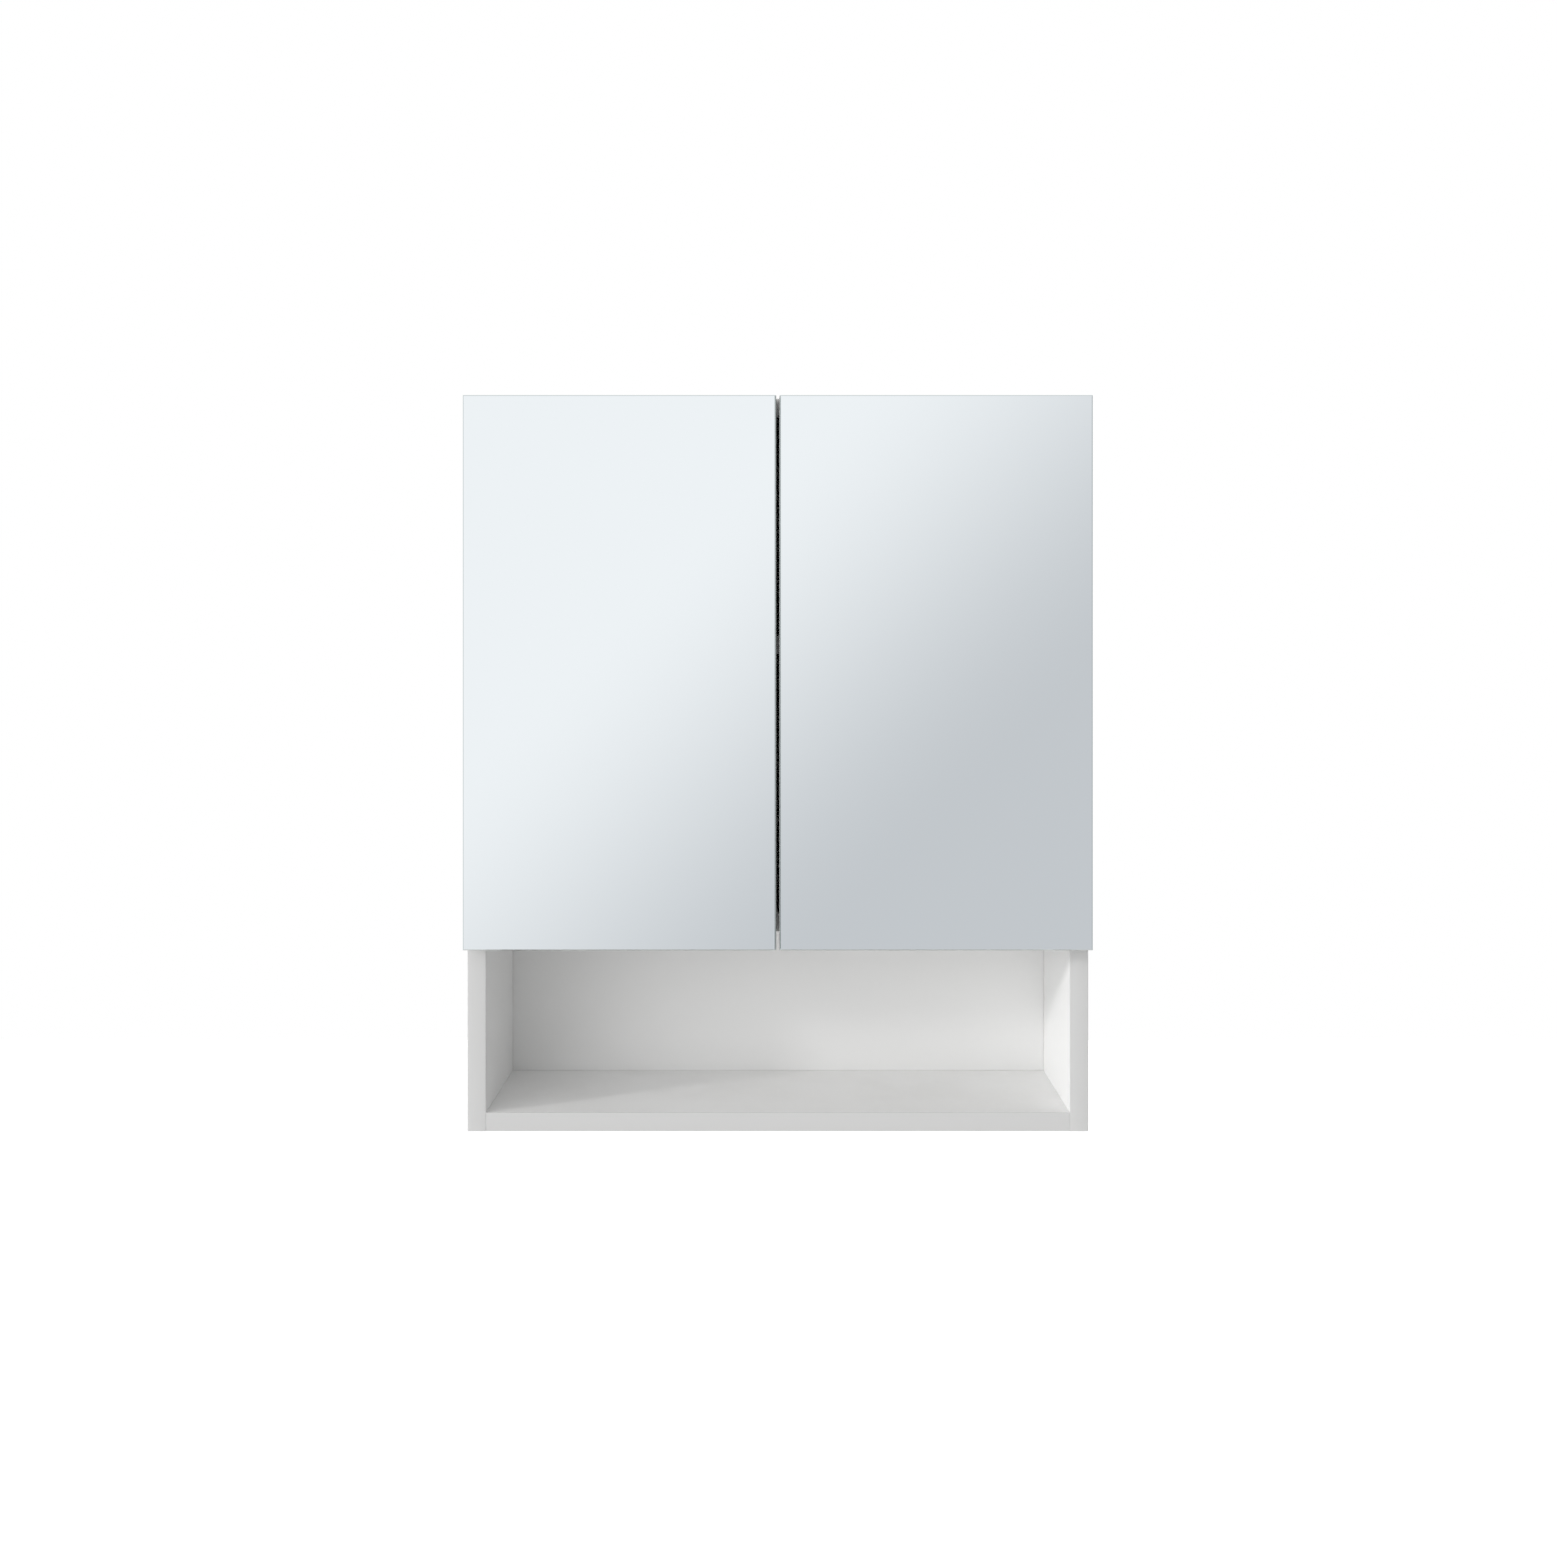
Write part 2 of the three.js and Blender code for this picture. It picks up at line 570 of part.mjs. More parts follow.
// A pressed steel cup sunk in the door, with a flange on the door's back face. Two stub pins in its
// walls hold the outer link's cheeks, and the inner link passes between them.
function hingeCup() {
  const mouth = -DOOR_BACK_GAP;
  const inner = CUP_RADIUS - CUP_WALL;
  const floor = mouth - CUP_DEPTH + CUP_FLOOR;
  const profile = [
    [0, mouth - CUP_DEPTH],
    [CUP_RADIUS, mouth - CUP_DEPTH],
    [CUP_RADIUS, mouth],
    [inner, mouth],
    [inner, floor],
    [0, floor],
  ].map(([radius, y]) => new THREE.Vector2(radius, y));
  const bowl = new THREE.LatheGeometry(profile, CUP_SIDES).translate(CUP_CENTRE, 0, 0);

  const ears = CUP_CENTRE + CUP_EAR_OFFSET;
  const ear = (way) => rod(CUP_EAR_RADIUS, [ears, mouth, (way * CUP_EAR_SPAN) / 2], "y", CUP_FLANGE_THICK);
  const bridge = block(
    [ears - CUP_EAR_RADIUS, mouth, -CUP_EAR_SPAN / 2],
    [ears + CUP_EAR_RADIUS, mouth + CUP_FLANGE_THICK, CUP_EAR_SPAN / 2],
  );
  const rim = rod(CUP_RADIUS + CUP_FLANGE_RIM, [CUP_CENTRE, mouth, 0], "y", CUP_FLANGE_THICK, CUP_SIDES);
  const well = rod(inner, [CUP_CENTRE, mouth - 1, 0], "y", CUP_FLANGE_THICK + 2, CUP_SIDES);
  const flange = cut(joined(rim, bridge, ear(-1), ear(1)), [well]);
  const chord = Math.sqrt(inner ** 2 - (CUP_CENTRE - OUTER_LINK_CUP_PIN[0]) ** 2);
  const pinEnd = chord + CUP_WALL / 2;
  const pinStart = INNER_LINK_HALF + FIT;
  const stub = (way) => {
    const start = [...OUTER_LINK_CUP_PIN, way * pinStart];
    return rod(PIN_RADIUS, start, "z", way * (pinEnd - pinStart), PIN_SIDES);
  };
  return joined(bowl, flange, stub(-1), stub(1));
}

for (const side of Object.keys(SIDE_SIGNS)) {
  for (const [levelName, level] of Object.entries(HINGE_LEVELS)) {
    const hinge = new THREE.Group();
    hinge.position.set(-SIDE_INNER, FRONT, level);
    sideGroup(side).add(hinge);
    const name = `${levelName}_${side}`;
    place(`hinge_plate_${name}`, mountingPlate(), NICKEL, hinge);
    place(`hinge_arm_${name}`, hingeArm(), NICKEL, hinge);
    place(`hinge_outer_link_${name}`, outerLink(), NICKEL, hinge);
    place(`hinge_inner_link_${name}`, innerLink(), NICKEL, hinge);
    place(`hinge_cup_${name}`, hingeCup(), NICKEL, hinge);
  }
}

// ---- doors: a board core with a mirror glued over its whole front ----

const DOOR_INNER_EDGE = -DOOR_MIDDLE_GAP / 2;

function doorCore() {
  const bores = Object.values(HINGE_LEVELS).map((level) =>
    rod(
      CUP_RADIUS + FIT,
      [-SIDE_INNER + CUP_CENTRE, DOOR_BACK + 1, level],
      "y",
      -(CUP_DEPTH + 2 * FIT + 1),
      CUP_SIDES,
    ),
  );
  return cut(block([-WIDTH / 2, DOOR_FRONT, DOOR_BOTTOM], [DOOR_INNER_EDGE, DOOR_BACK, TOP]), bores);
}

// Glass with a small arris all round its front edge.
function mirrorGlass() {
  const low = [-WIDTH / 2 + MIRROR_INSET, DOOR_BOTTOM + MIRROR_INSET];
  const high = [DOOR_INNER_EDGE - MIRROR_INSET, TOP - MIRROR_INSET];
  const glass = block([low[0], MIRROR_FRONT, low[1]], [high[0], DOOR_FRONT, high[1]]);
  const position = glass.attributes.position;
  for (let i = 0; i < position.count; i += 1) {
    if (position.getY(i) > MIRROR_FRONT + MIRROR_THICK / 2) continue;
    const x = position.getX(i) + (position.getX(i) < (low[0] + high[0]) / 2 ? MIRROR_ARRIS : -MIRROR_ARRIS);
    const z = position.getZ(i) + (position.getZ(i) < (low[1] + high[1]) / 2 ? MIRROR_ARRIS : -MIRROR_ARRIS);
    position.setXYZ(i, x, MIRROR_FRONT, z);
  }
  const backing = block(
    [low[0], DOOR_FRONT - MIRROR_THICK + MIRROR_ARRIS, low[1]],
    [high[0], DOOR_FRONT, high[1]],
  );
  return joined(glass, backing);
}

const BUMPER_HEIGHT = DOOR_BACK_GAP - FIT;
const BUMPER_LEVELS = { upper: TOP - BOARD / 2, lower: DIVIDER_UPPER - BOARD / 2 };
for (const side of Object.keys(SIDE_SIGNS)) {
  const group = sideGroup(side);
  place(`door_panel_${side}`, doorCore(), MELAMINE, group);
  place(`mirror_${side}`, mirrorGlass(), MIRROR, group);
  for (const [levelName, level] of Object.entries(BUMPER_LEVELS)) {
    const seat = [DOOR_INNER_EDGE - BUMPER_FROM_DOOR_EDGE, FRONT, level];
    const bumper = rod(BUMPER_RADIUS, seat, "y", -BUMPER_HEIGHT);
    place(`door_bumper_${levelName}_${side}`, bumper, SOFT_CLEAR, group);
  }
}

export default cabinet;
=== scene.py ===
"""A hanging bathroom cabinet with two mirrored doors over an open niche, finished for rendering.

Everything is in metres, +Z up, with the doors facing -Y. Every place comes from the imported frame.
"""
import logging
import math
from dataclasses import dataclass, field
from enum import Enum
from functools import cache
from typing import Any

import bpy
import numpy as np
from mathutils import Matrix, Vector


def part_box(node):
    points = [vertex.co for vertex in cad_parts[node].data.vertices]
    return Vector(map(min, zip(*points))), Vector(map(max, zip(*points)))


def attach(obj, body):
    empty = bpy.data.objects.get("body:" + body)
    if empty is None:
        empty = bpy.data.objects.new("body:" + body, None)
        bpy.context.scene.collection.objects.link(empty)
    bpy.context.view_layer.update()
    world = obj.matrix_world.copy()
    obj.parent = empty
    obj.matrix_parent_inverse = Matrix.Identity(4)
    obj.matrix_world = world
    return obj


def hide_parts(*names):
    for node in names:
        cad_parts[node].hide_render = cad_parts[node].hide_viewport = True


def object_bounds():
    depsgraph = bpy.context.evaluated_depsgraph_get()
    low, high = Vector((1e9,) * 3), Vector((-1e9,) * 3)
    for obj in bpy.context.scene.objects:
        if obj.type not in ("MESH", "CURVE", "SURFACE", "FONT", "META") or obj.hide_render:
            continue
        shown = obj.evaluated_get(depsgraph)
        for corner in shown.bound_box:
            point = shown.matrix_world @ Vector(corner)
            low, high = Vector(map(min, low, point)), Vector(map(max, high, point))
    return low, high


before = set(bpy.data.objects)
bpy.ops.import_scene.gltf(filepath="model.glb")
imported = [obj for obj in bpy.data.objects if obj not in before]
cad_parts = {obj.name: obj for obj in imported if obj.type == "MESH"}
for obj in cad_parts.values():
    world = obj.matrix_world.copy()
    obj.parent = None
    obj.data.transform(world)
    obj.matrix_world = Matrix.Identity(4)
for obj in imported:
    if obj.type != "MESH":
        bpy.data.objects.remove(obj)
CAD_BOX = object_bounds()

log = logging.getLogger("cabinet")
MM = 0.001
SIDES = {"left": 1.0, "right": -1.0}
STRIP = 0.8 * MM
CAM_RADIUS = 7.5 * MM
CUP_RADIUS = 17.5 * MM
CUP_FLANGE = 1.2 * MM


class Axis(Enum):
    """The axis that a round piece turns about or an outline is carried along."""

    X = 0
    Y = 1
    Z = 2


# ---- surfaces ----


@dataclass
class Faces:
    """Faces that all have the same number of corners and the same finish.

    corners holds one row of point numbers for each face, finish the place of their finish in the
    piece's list.
    """

    corners: np.ndarray
    finish: int = 0


@dataclass
class Shape:
    """A surface as points in metres and the faces that join them."""

    points: np.ndarray
    faces: list[Faces]

    def moved(self, x: float = 0.0, y: float = 0.0, z: float = 0.0) -> "Shape":
        """Returns a copy carried by x, y and z."""
        return Shape(self.points + np.array([x, y, z]), self.faces)

    def mirrored(self, sign: float) -> "Shape":
        """Returns the shape itself, or for sign -1 its mirror image across the centre plane.

        Mirroring turns x round and reverses each face's corners, so faces still point outwards.

        Args:
            sign: 1 for the left side, -1 for the right side.

        Returns:
            The shape for that side.
        """
        if sign > 0:
            return self
        faces = [Faces(part.corners[:, ::-1], part.finish) for part in self.faces]
        return Shape(self.points * np.array([-1.0, 1.0, 1.0]), faces)


def together(*shapes: Shape) -> Shape:
    """Puts several shapes into one, each still closed in itself.

    Args:
        shapes: the shapes.

    Returns:
        One shape that holds all their points and faces.
    """
    starts = np.cumsum([0] + [len(shape.points) for shape in shapes[:-1]])
    faces = [
        Faces(part.corners + start, part.finish)
        for shape, start in zip(shapes, starts)
        for part in shape.faces
    ]
    return Shape(np.concatenate([shape.points for shape in shapes]), faces)


def welded(points: np.ndarray, quads: np.ndarray, finish: int = 0) -> Shape:
    """Merges points in the same place, so that seams and poles close.

    Points are rounded to a ten-thousandth of a millimetre and equal ones become one. A face that
    loses one corner is a triangle, and one that loses more is dropped.

    Args:
        points: the points, one in a row.
        quads: four point numbers for each face.
        finish: the place of the faces' finish.

    Returns:
        The closed shape.
    """
    keys = np.round(points / 1e-7).astype(np.int64)
    _, first, place = np.unique(keys, axis=0, return_index=True, return_inverse=True)
    corners = place.reshape(-1)[quads]
    kept = corners != np.roll(corners, 1, axis=1)
    count = kept.sum(axis=1)
    triangles = corners[count == 3][kept[count == 3]].reshape(-1, 3)
    return Shape(points[first], [Faces(corners[count == 4], finish), Faces(triangles, finish)])


def table_faces(rows: int, columns: int, ring: bool = True, closed_rows: bool = False) -> np.ndarray:
    """Joins a table of points into four-cornered faces.

    Face (i, j) joins points (i, j), (i, j+1), (i+1, j+1) and (i+1, j), counted round the ring.

    Args:
        rows: rows of points.
        columns: points in a row.
        ring: whether each row closes on itself.
        closed_rows: whether the last row joins the first.

    Returns:
        Four point numbers for each face.
    """
    i, j = np.meshgrid(
        np.arange(rows if closed_rows else rows - 1),
        np.arange(columns if ring else columns - 1),
        indexing="ij",
    )
    below, after = (i + 1) % rows, (j + 1) % columns
    corners = [i * columns + j, i * columns + after, below * columns + after, below * columns + j]
    return np.stack(corners, axis=-1).reshape(-1, 4)


def directions(axis: Axis) -> tuple[np.ndarray, np.ndarray, np.ndarray]:
    """Returns the two cross directions of an axis and the axis itself, right-handed."""
    unit = np.eye(3)
    return unit[(axis.value + 1) % 3], unit[(axis.value + 2) % 3], unit[axis.value]


def turned(
    profile: list[tuple[float, float]],
    centre: tuple[float, float, float],
    axis: Axis,
    sides: int = 48,
    finish: int = 0,
) -> Shape:
    """Turns a profile about an axis, as on a lathe.

    A point is centre + height * axis + radius * (cos t * across + sin t * up), for t round the
    circle. The profile runs outwards from the axis at its low end and back to it at its high end.

    Args:
        profile: radius and height of each profile point, in metres.
        centre: the point on the axis where height is nought.
        axis: the axis turned about.
        sides: points round the circle.
        finish: the place of the finish.

    Returns:
        The closed shape.
    """
    across, up, along = directions(axis)
    radius, height = np.array(profile).T
    angle = np.linspace(0, 2 * math.pi, sides, endpoint=False)
    circle = np.cos(angle)[:, None] * across + np.sin(angle)[:, None] * up
    points = height[:, None, None] * along + radius[:, None, None] * circle[None] + np.array(centre)
    return welded(points.reshape(-1, 3), table_faces(len(radius), sides), finish)


def rounded_block(low: np.ndarray, high: np.ndarray, radius: float, steps: int = 3) -> Shape:
    """A block with round edges and corners.

    Each of the six faces is a grid whose lines crowd into the edge strips. With c the grid point
    held inside the block by the radius, and n the unit vector from c to the point, the surface
    point is c + radius * n.

    Args:
        low: the lowest corner.
        high: the highest corner.
        radius: radius of the edges.
        steps: faces across half an edge.

    Returns:
        The closed shape.
    """
    low, high = np.array(low, float), np.array(high, float)
    radius = min(radius, 0.499 * float((high - low).min()))
    near = radius * (1 - np.tan(np.linspace(math.pi / 4, 0, steps + 1)))
    stops = [np.concatenate([low[k] + near, high[k] - near[::-1]]) for k in range(3)]
    tables, corners, start = [], [], 0
    for k in range(3):
        u, v = (k + 1) % 3, (k + 2) % 3
        for side in (low, high):
            across, up = np.meshgrid(stops[u], stops[v])
            table = np.zeros(across.shape + (3,))
            table[..., k], table[..., u], table[..., v] = side[k], across, up
            table = table if side is high else table.swapaxes(0, 1)
            tables.append(table.reshape(-1, 3))
            corners.append(start + table_faces(*table.shape[:2], ring=False))
            start += len(tables[-1])
    points = np.concatenate(tables)
    core = np.clip(points, low + radius, high - radius)
    away = points - core
    points = core + radius * away / np.linalg.norm(away, axis=1, keepdims=True)
    return welded(points, np.concatenate(corners))


def carried(outline: np.ndarray, start: float, end: float, axis: Axis) -> Shape:
    """Carries a flat outline along an axis and closes both ends.

    Point (i, j) is outline point j at start for i 0 and at end for i 1. The outline runs
    anticlockwise in the plane of the axis's two cross directions.

    Args:
        outline: the outline's points in that plane, one in a row.
        start: the low end along the axis.
        end: the high end along the axis.
        axis: the direction carried along.

    Returns:
        The closed shape.
    """
    across, up, along = directions(axis)
    flat = outline[:, :1] * across + outline[:, 1:] * up
    points = np.concatenate([flat + start * along, flat + end * along])
    count = len(outline)
    ends = np.stack([np.arange(count)[::-1], np.arange(count) + count])
    return Shape(points, [Faces(table_faces(2, count)), Faces(ends)])


def round_the_edge(
    low: tuple[float, float], high: tuple[float, float], profile: list[tuple[float, float]]
) -> np.ndarray:
    """Carries a profile round an upright rectangle with mitred corners.

    Corner (sx, sz) of row i is (x side + sx * offset, depth, z side + sz * offset).

    Args:
        low: the rectangle's lowest x and z.
        high: its highest x and z.
        profile: offset outwards and depth y of each row.

    Returns:
        Points as rows by four corners by three numbers.
    """
    offset, depth = np.array(profile).T[..., None]
    x = np.array([low[0], high[0], high[0], low[0]]) + offset * np.array([-1, 1, 1, -1])
    z = np.array([low[1], low[1], high[1], high[1]]) + offset * np.array([-1, -1, 1, 1])
    return np.stack([x, np.broadcast_to(depth, x.shape), z], axis=-1)


def rounded_outline(
    points: list[tuple[float, float]], radii: list[float], steps: int = 6
) -> np.ndarray:
    """Rounds the corners of a flat outline.

    At each corner, the arc starts where a circle of that radius touches the line in and ends
    where it touches the line out: its point at share s is centre + radius * (the direction turned
    evenly from the first touching point to the last).

    Args:
        points: corners, anticlockwise.
        radii: a radius for each corner, nought for a sharp one.
        steps: faces along an arc.

    Returns:
        The rounded outline's points, one in a row.
    """
    corner = np.array(points, float)
    before = np.roll(corner, 1, axis=0) - corner
    after = np.roll(corner, -1, axis=0) - corner
    before /= np.linalg.norm(before, axis=1, keepdims=True)
    after /= np.linalg.norm(after, axis=1, keepdims=True)
    half = np.arccos(np.clip((before * after).sum(axis=1), -1, 1)) / 2
    middle = before + after
    middle /= np.maximum(np.linalg.norm(middle, axis=1, keepdims=True), 1e-9)
    radius = np.array(radii, float)[:, None]
    centre = corner + middle * radius / np.sin(half)[:, None]
    first = corner + before * radius / np.tan(half)[:, None] - centre
    last = corner + after * radius / np.tan(half)[:, None] - centre
    share = np.linspace(0, 1, steps + 1)[None, :, None]
    turn = math.pi - 2 * half[:, None, None]
    bend = np.sin((1 - share) * turn) * first[:, None] + np.sin(share * turn) * last[:, None]
    arcs = centre[:, None] + bend / np.maximum(np.sin(turn), 1e-9)
    rows = [arcs[i] if radii[i] > 0 else corner[i : i + 1] for i in range(len(corner))]
    return np.concatenate(rows)


# ---- shader trees ----

Value = Any


class Tree:
    """Adds nodes to a shader tree and joins their sockets."""

    def __init__(self, tree: bpy.types.NodeTree) -> None:
        """Keeps the tree that the nodes go into."""
        self.tree = tree

    def put(self, socket: bpy.types.NodeSocket, value: Value) -> None:
        """Joins a socket to another, or gives it a plain value.

        Args:
            socket: the input socket.
            value: the output socket to join it to, or its value.
        """
        if isinstance(value, bpy.types.NodeSocket):
            self.tree.links.new(value, socket)
        else:
            socket.default_value = value

    def add(self, kind: str, inputs: dict[str | int, Value] | None = None, **settings: Value) -> Any:
        """Adds a node.

        Args:
            kind: the node's type.
            inputs: a value or a socket for each input named.
            settings: the node's own settings.

        Returns:
            The node.
        """
        node = self.tree.nodes.new(kind)
        for name, value in settings.items():
            setattr(node, name, value)
        for key, value in (inputs or {}).items():
            self.put(node.inputs[key], value)
        return node

    def sum(self, operation: str, first: Value, second: Value = 0.0, third: Value = 0.0) -> Any:
        """Returns the result of a Math node."""
        inputs = {0: first, 1: second, 2: third}
        return self.add("ShaderNodeMath", inputs, operation=operation).outputs[0]

    def spread(self, value: Value, low: float, high: float, out_low: float, out_high: float) -> Any:
        """Carries a value smoothly from one range to another and holds it inside it.

        Args:
            value: the value.
            low: where its range starts.
            high: where its range ends.
            out_low: the result at low.
            out_high: the result at high.

        Returns:
            The result.
        """
        inputs = {0: value, 1: low, 2: high, 3: out_low, 4: out_high}
        node = self.add("ShaderNodeMapRange", inputs, interpolation_type="SMOOTHSTEP")
        return node.outputs[0]

    def blend(self, share: Value, first: Value, second: Value, how: str = "MIX") -> Any:
        """Returns a colour between two others."""
        inputs = {0: share, 6: first, 7: second}
        return self.add("ShaderNodeMix", inputs, data_type="RGBA", blend_type=how).outputs[2]

    def group(self, group: bpy.types.NodeTree, inputs: dict[str | int, Value]) -> Any:
        """Places an effect group and returns its outputs."""
        return self.add("ShaderNodeGroup", inputs, node_tree=group).outputs

    def relief(self, shader: Any, height: Value, distance: float) -> None:
        """Raises a shader's surface by a height of that many metres."""
        bump = self.add("ShaderNodeBump", {"Height": height, "Distance": distance})
        self.put(shader.inputs["Normal"], bump.outputs["Normal"])

    def noise(self, place: Value, scale: float, detail: float = 2.0, roughness: float = 0.5) -> Any:
        """Returns the value of a Noise Texture at place."""
        inputs = {"Vector": place, "Scale": scale, "Detail": detail, "Roughness": roughness}
        return self.add("ShaderNodeTexNoise", inputs).outputs["Fac"]


SOCKET_KINDS = {"value": "NodeSocketFloat", "vector": "NodeSocketVector", "colour": "NodeSocketColor"}


def effect_group(
    name: str, inputs: dict[str, tuple[str, Value]], outputs: dict[str, str]
) -> tuple[Tree, Any, Any]:
    """Starts a shader node group with named sockets.

    Args:
        name: the group's name.
        inputs: kind and starting value of each input.
        outputs: kind of each output.

    Returns:
        The group's tree, the outputs of its input node and the inputs of its output node.
    """
    group = bpy.data.node_groups.new(name, "ShaderNodeTree")
    for label, (kind, start) in inputs.items():
        socket = group.interface.new_socket(label, in_out="INPUT", socket_type=SOCKET_KINDS[kind])
        if start is not None:
            socket.default_value = start
    for label, kind in outputs.items():
        group.interface.new_socket(label, in_out="OUTPUT", socket_type=SOCKET_KINDS[kind])
    tree = Tree(group)
    source = tree.add("NodeGroupInput").outputs
    target = tree.add("NodeGroupOutput").inputs
    return tree, source, target


@cache
def pressed_grain() -> bpy.types.NodeTree:
    """The fine pebbled grain that a press leaves in a melamine or plastic face.

    Returns:
        The node group.
    """
    tree, source, target = effect_group(
        "Pressed grain",
        {"Vector": ("vector", None), "Grain": ("value", 0.001)},
        {"Height": "value", "Sheen": "value"},
    )
    scale = tree.sum("DIVIDE", 1.0, source["Grain"])
    fine = tree.noise(source["Vector"], 1.0)
    tree.put(fine.node.inputs["Scale"], scale)
    coarse = tree.noise(source["Vector"], 1.0, 1.0)
    tree.put(coarse.node.inputs["Scale"], tree.sum("MULTIPLY", scale, 0.22))
    tree.put(target["Height"], tree.sum("MULTIPLY_ADD", coarse, 0.35, fine))
    slow = tree.noise(source["Vector"], 7.0, 3.0)
    tree.put(target["Sheen"], tree.spread(slow, 0.3, 0.7, 0.0, 1.0))
    return tree.tree


@cache
def batch_tone() -> bpy.types.NodeTree:
    """Slow, weak differences of tone over a surface.

    Returns:
        The node group.
    """
    tree, source, target = effect_group(
        "Batch tone",
        {"Vector": ("vector", None), "Color": ("colour", None), "Spread": ("value", 0.02)},
        {"Color": "colour"},
    )
    broad = tree.noise(source["Vector"], 3.1, 3.0)
    small = tree.noise(source["Vector"], 34.0, 2.0)
    share = tree.sum("MULTIPLY_ADD", small, 0.3, tree.sum("MULTIPLY", broad, 0.7))
    gain = tree.sum("MULTIPLY_ADD", tree.sum("SUBTRACT", share, 0.5), source["Spread"], 1.0)
    grey = tree.add("ShaderNodeCombineColor", {0: gain, 1: gain, 2: gain}).outputs[0]
    tree.put(target["Color"], tree.blend(1.0, source["Color"], grey, "MULTIPLY"))
    return tree.tree


@cache
def rubbed_edges() -> bpy.types.NodeTree:
    """Wear on a piece's edges, where its points carry an edge value, broken up by noise.

    Returns:
        The node group.
    """
    tree, source, target = effect_group(
        "Rubbed edges",
        {
            "Vector": ("vector", None),
            "Color": ("colour", None),
            "Worn Color": ("colour", None),
            "Amount": ("value", 0.3),
        },
        {"Color": "colour", "Mask": "value"},
    )
    edge = tree.add("ShaderNodeAttribute", attribute_name="edge").outputs["Fac"]
    patches = tree.spread(tree.noise(source["Vector"], 46.0, 4.0, 0.6), 0.42, 0.66, 0.1, 1.0)
    mask = tree.sum("MULTIPLY", tree.sum("MULTIPLY", edge, patches), source["Amount"])
    tree.put(target["Color"], tree.blend(mask, source["Color"], source["Worn Color"]))
    tree.put(target["Mask"], mask)
    return tree.tree


@cache
def settled_dust() -> bpy.types.NodeTree:
    """Dust that lies thinly on faces that look up.

    Returns:
        The node group.
    """
    tree, source, target = effect_group(
        "Settled dust",
        {"Vector": ("vector", None), "Color": ("colour", None), "Amount": ("value", 0.1)},
        {"Color": "colour", "Mask": "value"},
    )
    normal = tree.add("ShaderNodeNewGeometry").outputs["Normal"]
    up = tree.add("ShaderNodeSeparateXYZ", {0: normal}).outputs[2]
    lying = tree.spread(up, 0.6, 0.98, 0.0, 1.0)
    patches = tree.spread(tree.noise(source["Vector"], 11.0, 5.0, 0.65), 0.35, 0.75, 0.3, 1.0)
    mask = tree.sum("MULTIPLY", tree.sum("MULTIPLY", lying, patches), source["Amount"])
    tree.put(target["Color"], tree.blend(mask, source["Color"], (0.5, 0.48, 0.45, 1.0)))
    tree.put(target["Mask"], mask)
    return tree.tree


@cache
def drawn_lines() -> bpy.types.NodeTree:
    """Fine scratches along one direction, as on rolled or brushed metal.

    Returns:
        The node group.
    """
    tree, source, target = effect_group(
        "Drawn lines",
        {"Vector": ("vector", None), "Stretch": ("vector", (1.0, 1.0, 1.0)), "Lines": ("value", 900.0)},
        {"Height": "value", "Mask": "value"},
    )
    inputs = {0: source["Vector"], 1: source["Stretch"]}
    place = tree.add("ShaderNodeVectorMath", inputs, operation="MULTIPLY").outputs[0]
    lines = tree.noise(place, 1.0, 3.0, 0.6)
    tree.put(lines.node.inputs["Scale"], source["Lines"])
    tree.put(target["Height"], lines)
    tree.put(target["Mask"], tree.spread(lines, 0.35, 0.65, 0.0, 1.0))
    return tree.tree


@cache
def pressed_flakes() -> bpy.types.NodeTree:
    """Wood flakes and glue gaps of a cut chipboard or hardboard face.

    Returns:
        The node group.
    """
    tree, source, target = effect_group(
        "Pressed flakes",
        {
            "Vector": ("vector", None),
            "Light": ("colour", None),
            "Dark": ("colour", None),
            "Flake": ("value", 0.003),
        },
        {"Color": "colour", "Height": "value"},
    )
    scale = tree.sum("DIVIDE", 1.0, source["Flake"])
    inputs = {"Vector": source["Vector"], "Scale": 140.0, "Detail": 2.0}
    warp = tree.add("ShaderNodeTexNoise", inputs).outputs["Color"]
    inputs = {0: warp, "Scale": 1.6 * MM}
    shift = tree.add("ShaderNodeVectorMath", inputs, operation="SCALE").outputs[0]
    inputs = {0: source["Vector"], 1: shift}
    place = tree.add("ShaderNodeVectorMath", inputs, operation="ADD").outputs[0]
    cell = tree.add("ShaderNodeTexVoronoi", {"Vector": place, "Scale": scale})
    tone = tree.add("ShaderNodeSeparateXYZ", {0: cell.outputs["Color"]}).outputs[0]
    share = tree.sum("POWER", tone, 2.2)
    tree.put(target["Color"], tree.blend(share, source["Light"], source["Dark"]))
    pits = tree.spread(cell.outputs["Distance"], 0.2, 0.9, 1.0, 0.0)
    tree.put(target["Height"], tree.sum("MULTIPLY_ADD", tone, 0.5, pits))
    return tree.tree


# ---- finishes ----

Colour = tuple[float, float, float]


def opaque(colour: Colour) -> tuple[float, float, float, float]:
    """Returns a colour with full alpha."""
    return (*colour, 1.0)


@dataclass(frozen=True)
class Finish:
    """A finish, made into a material once and shared by its pieces."""

    name: str
    colour: Colour
    roughness: float

    def start(self) -> tuple[bpy.types.Material, Tree, Any, Any]:
        """Starts the finish's material.

        Returns:
            The material, its tree, its Principled shader and the piece's coordinates.
        """
        material = bpy.data.materials.new(self.name)
        material.use_nodes = True
        tree = Tree(material.node_tree)
        place = tree.add("ShaderNodeTexCoord").outputs["Object"]
        return material, tree, tree.tree.nodes["Principled BSDF"], place

    def build(self) -> bpy.types.Material:
        """Returns the finish's material."""
        raise NotImplementedError


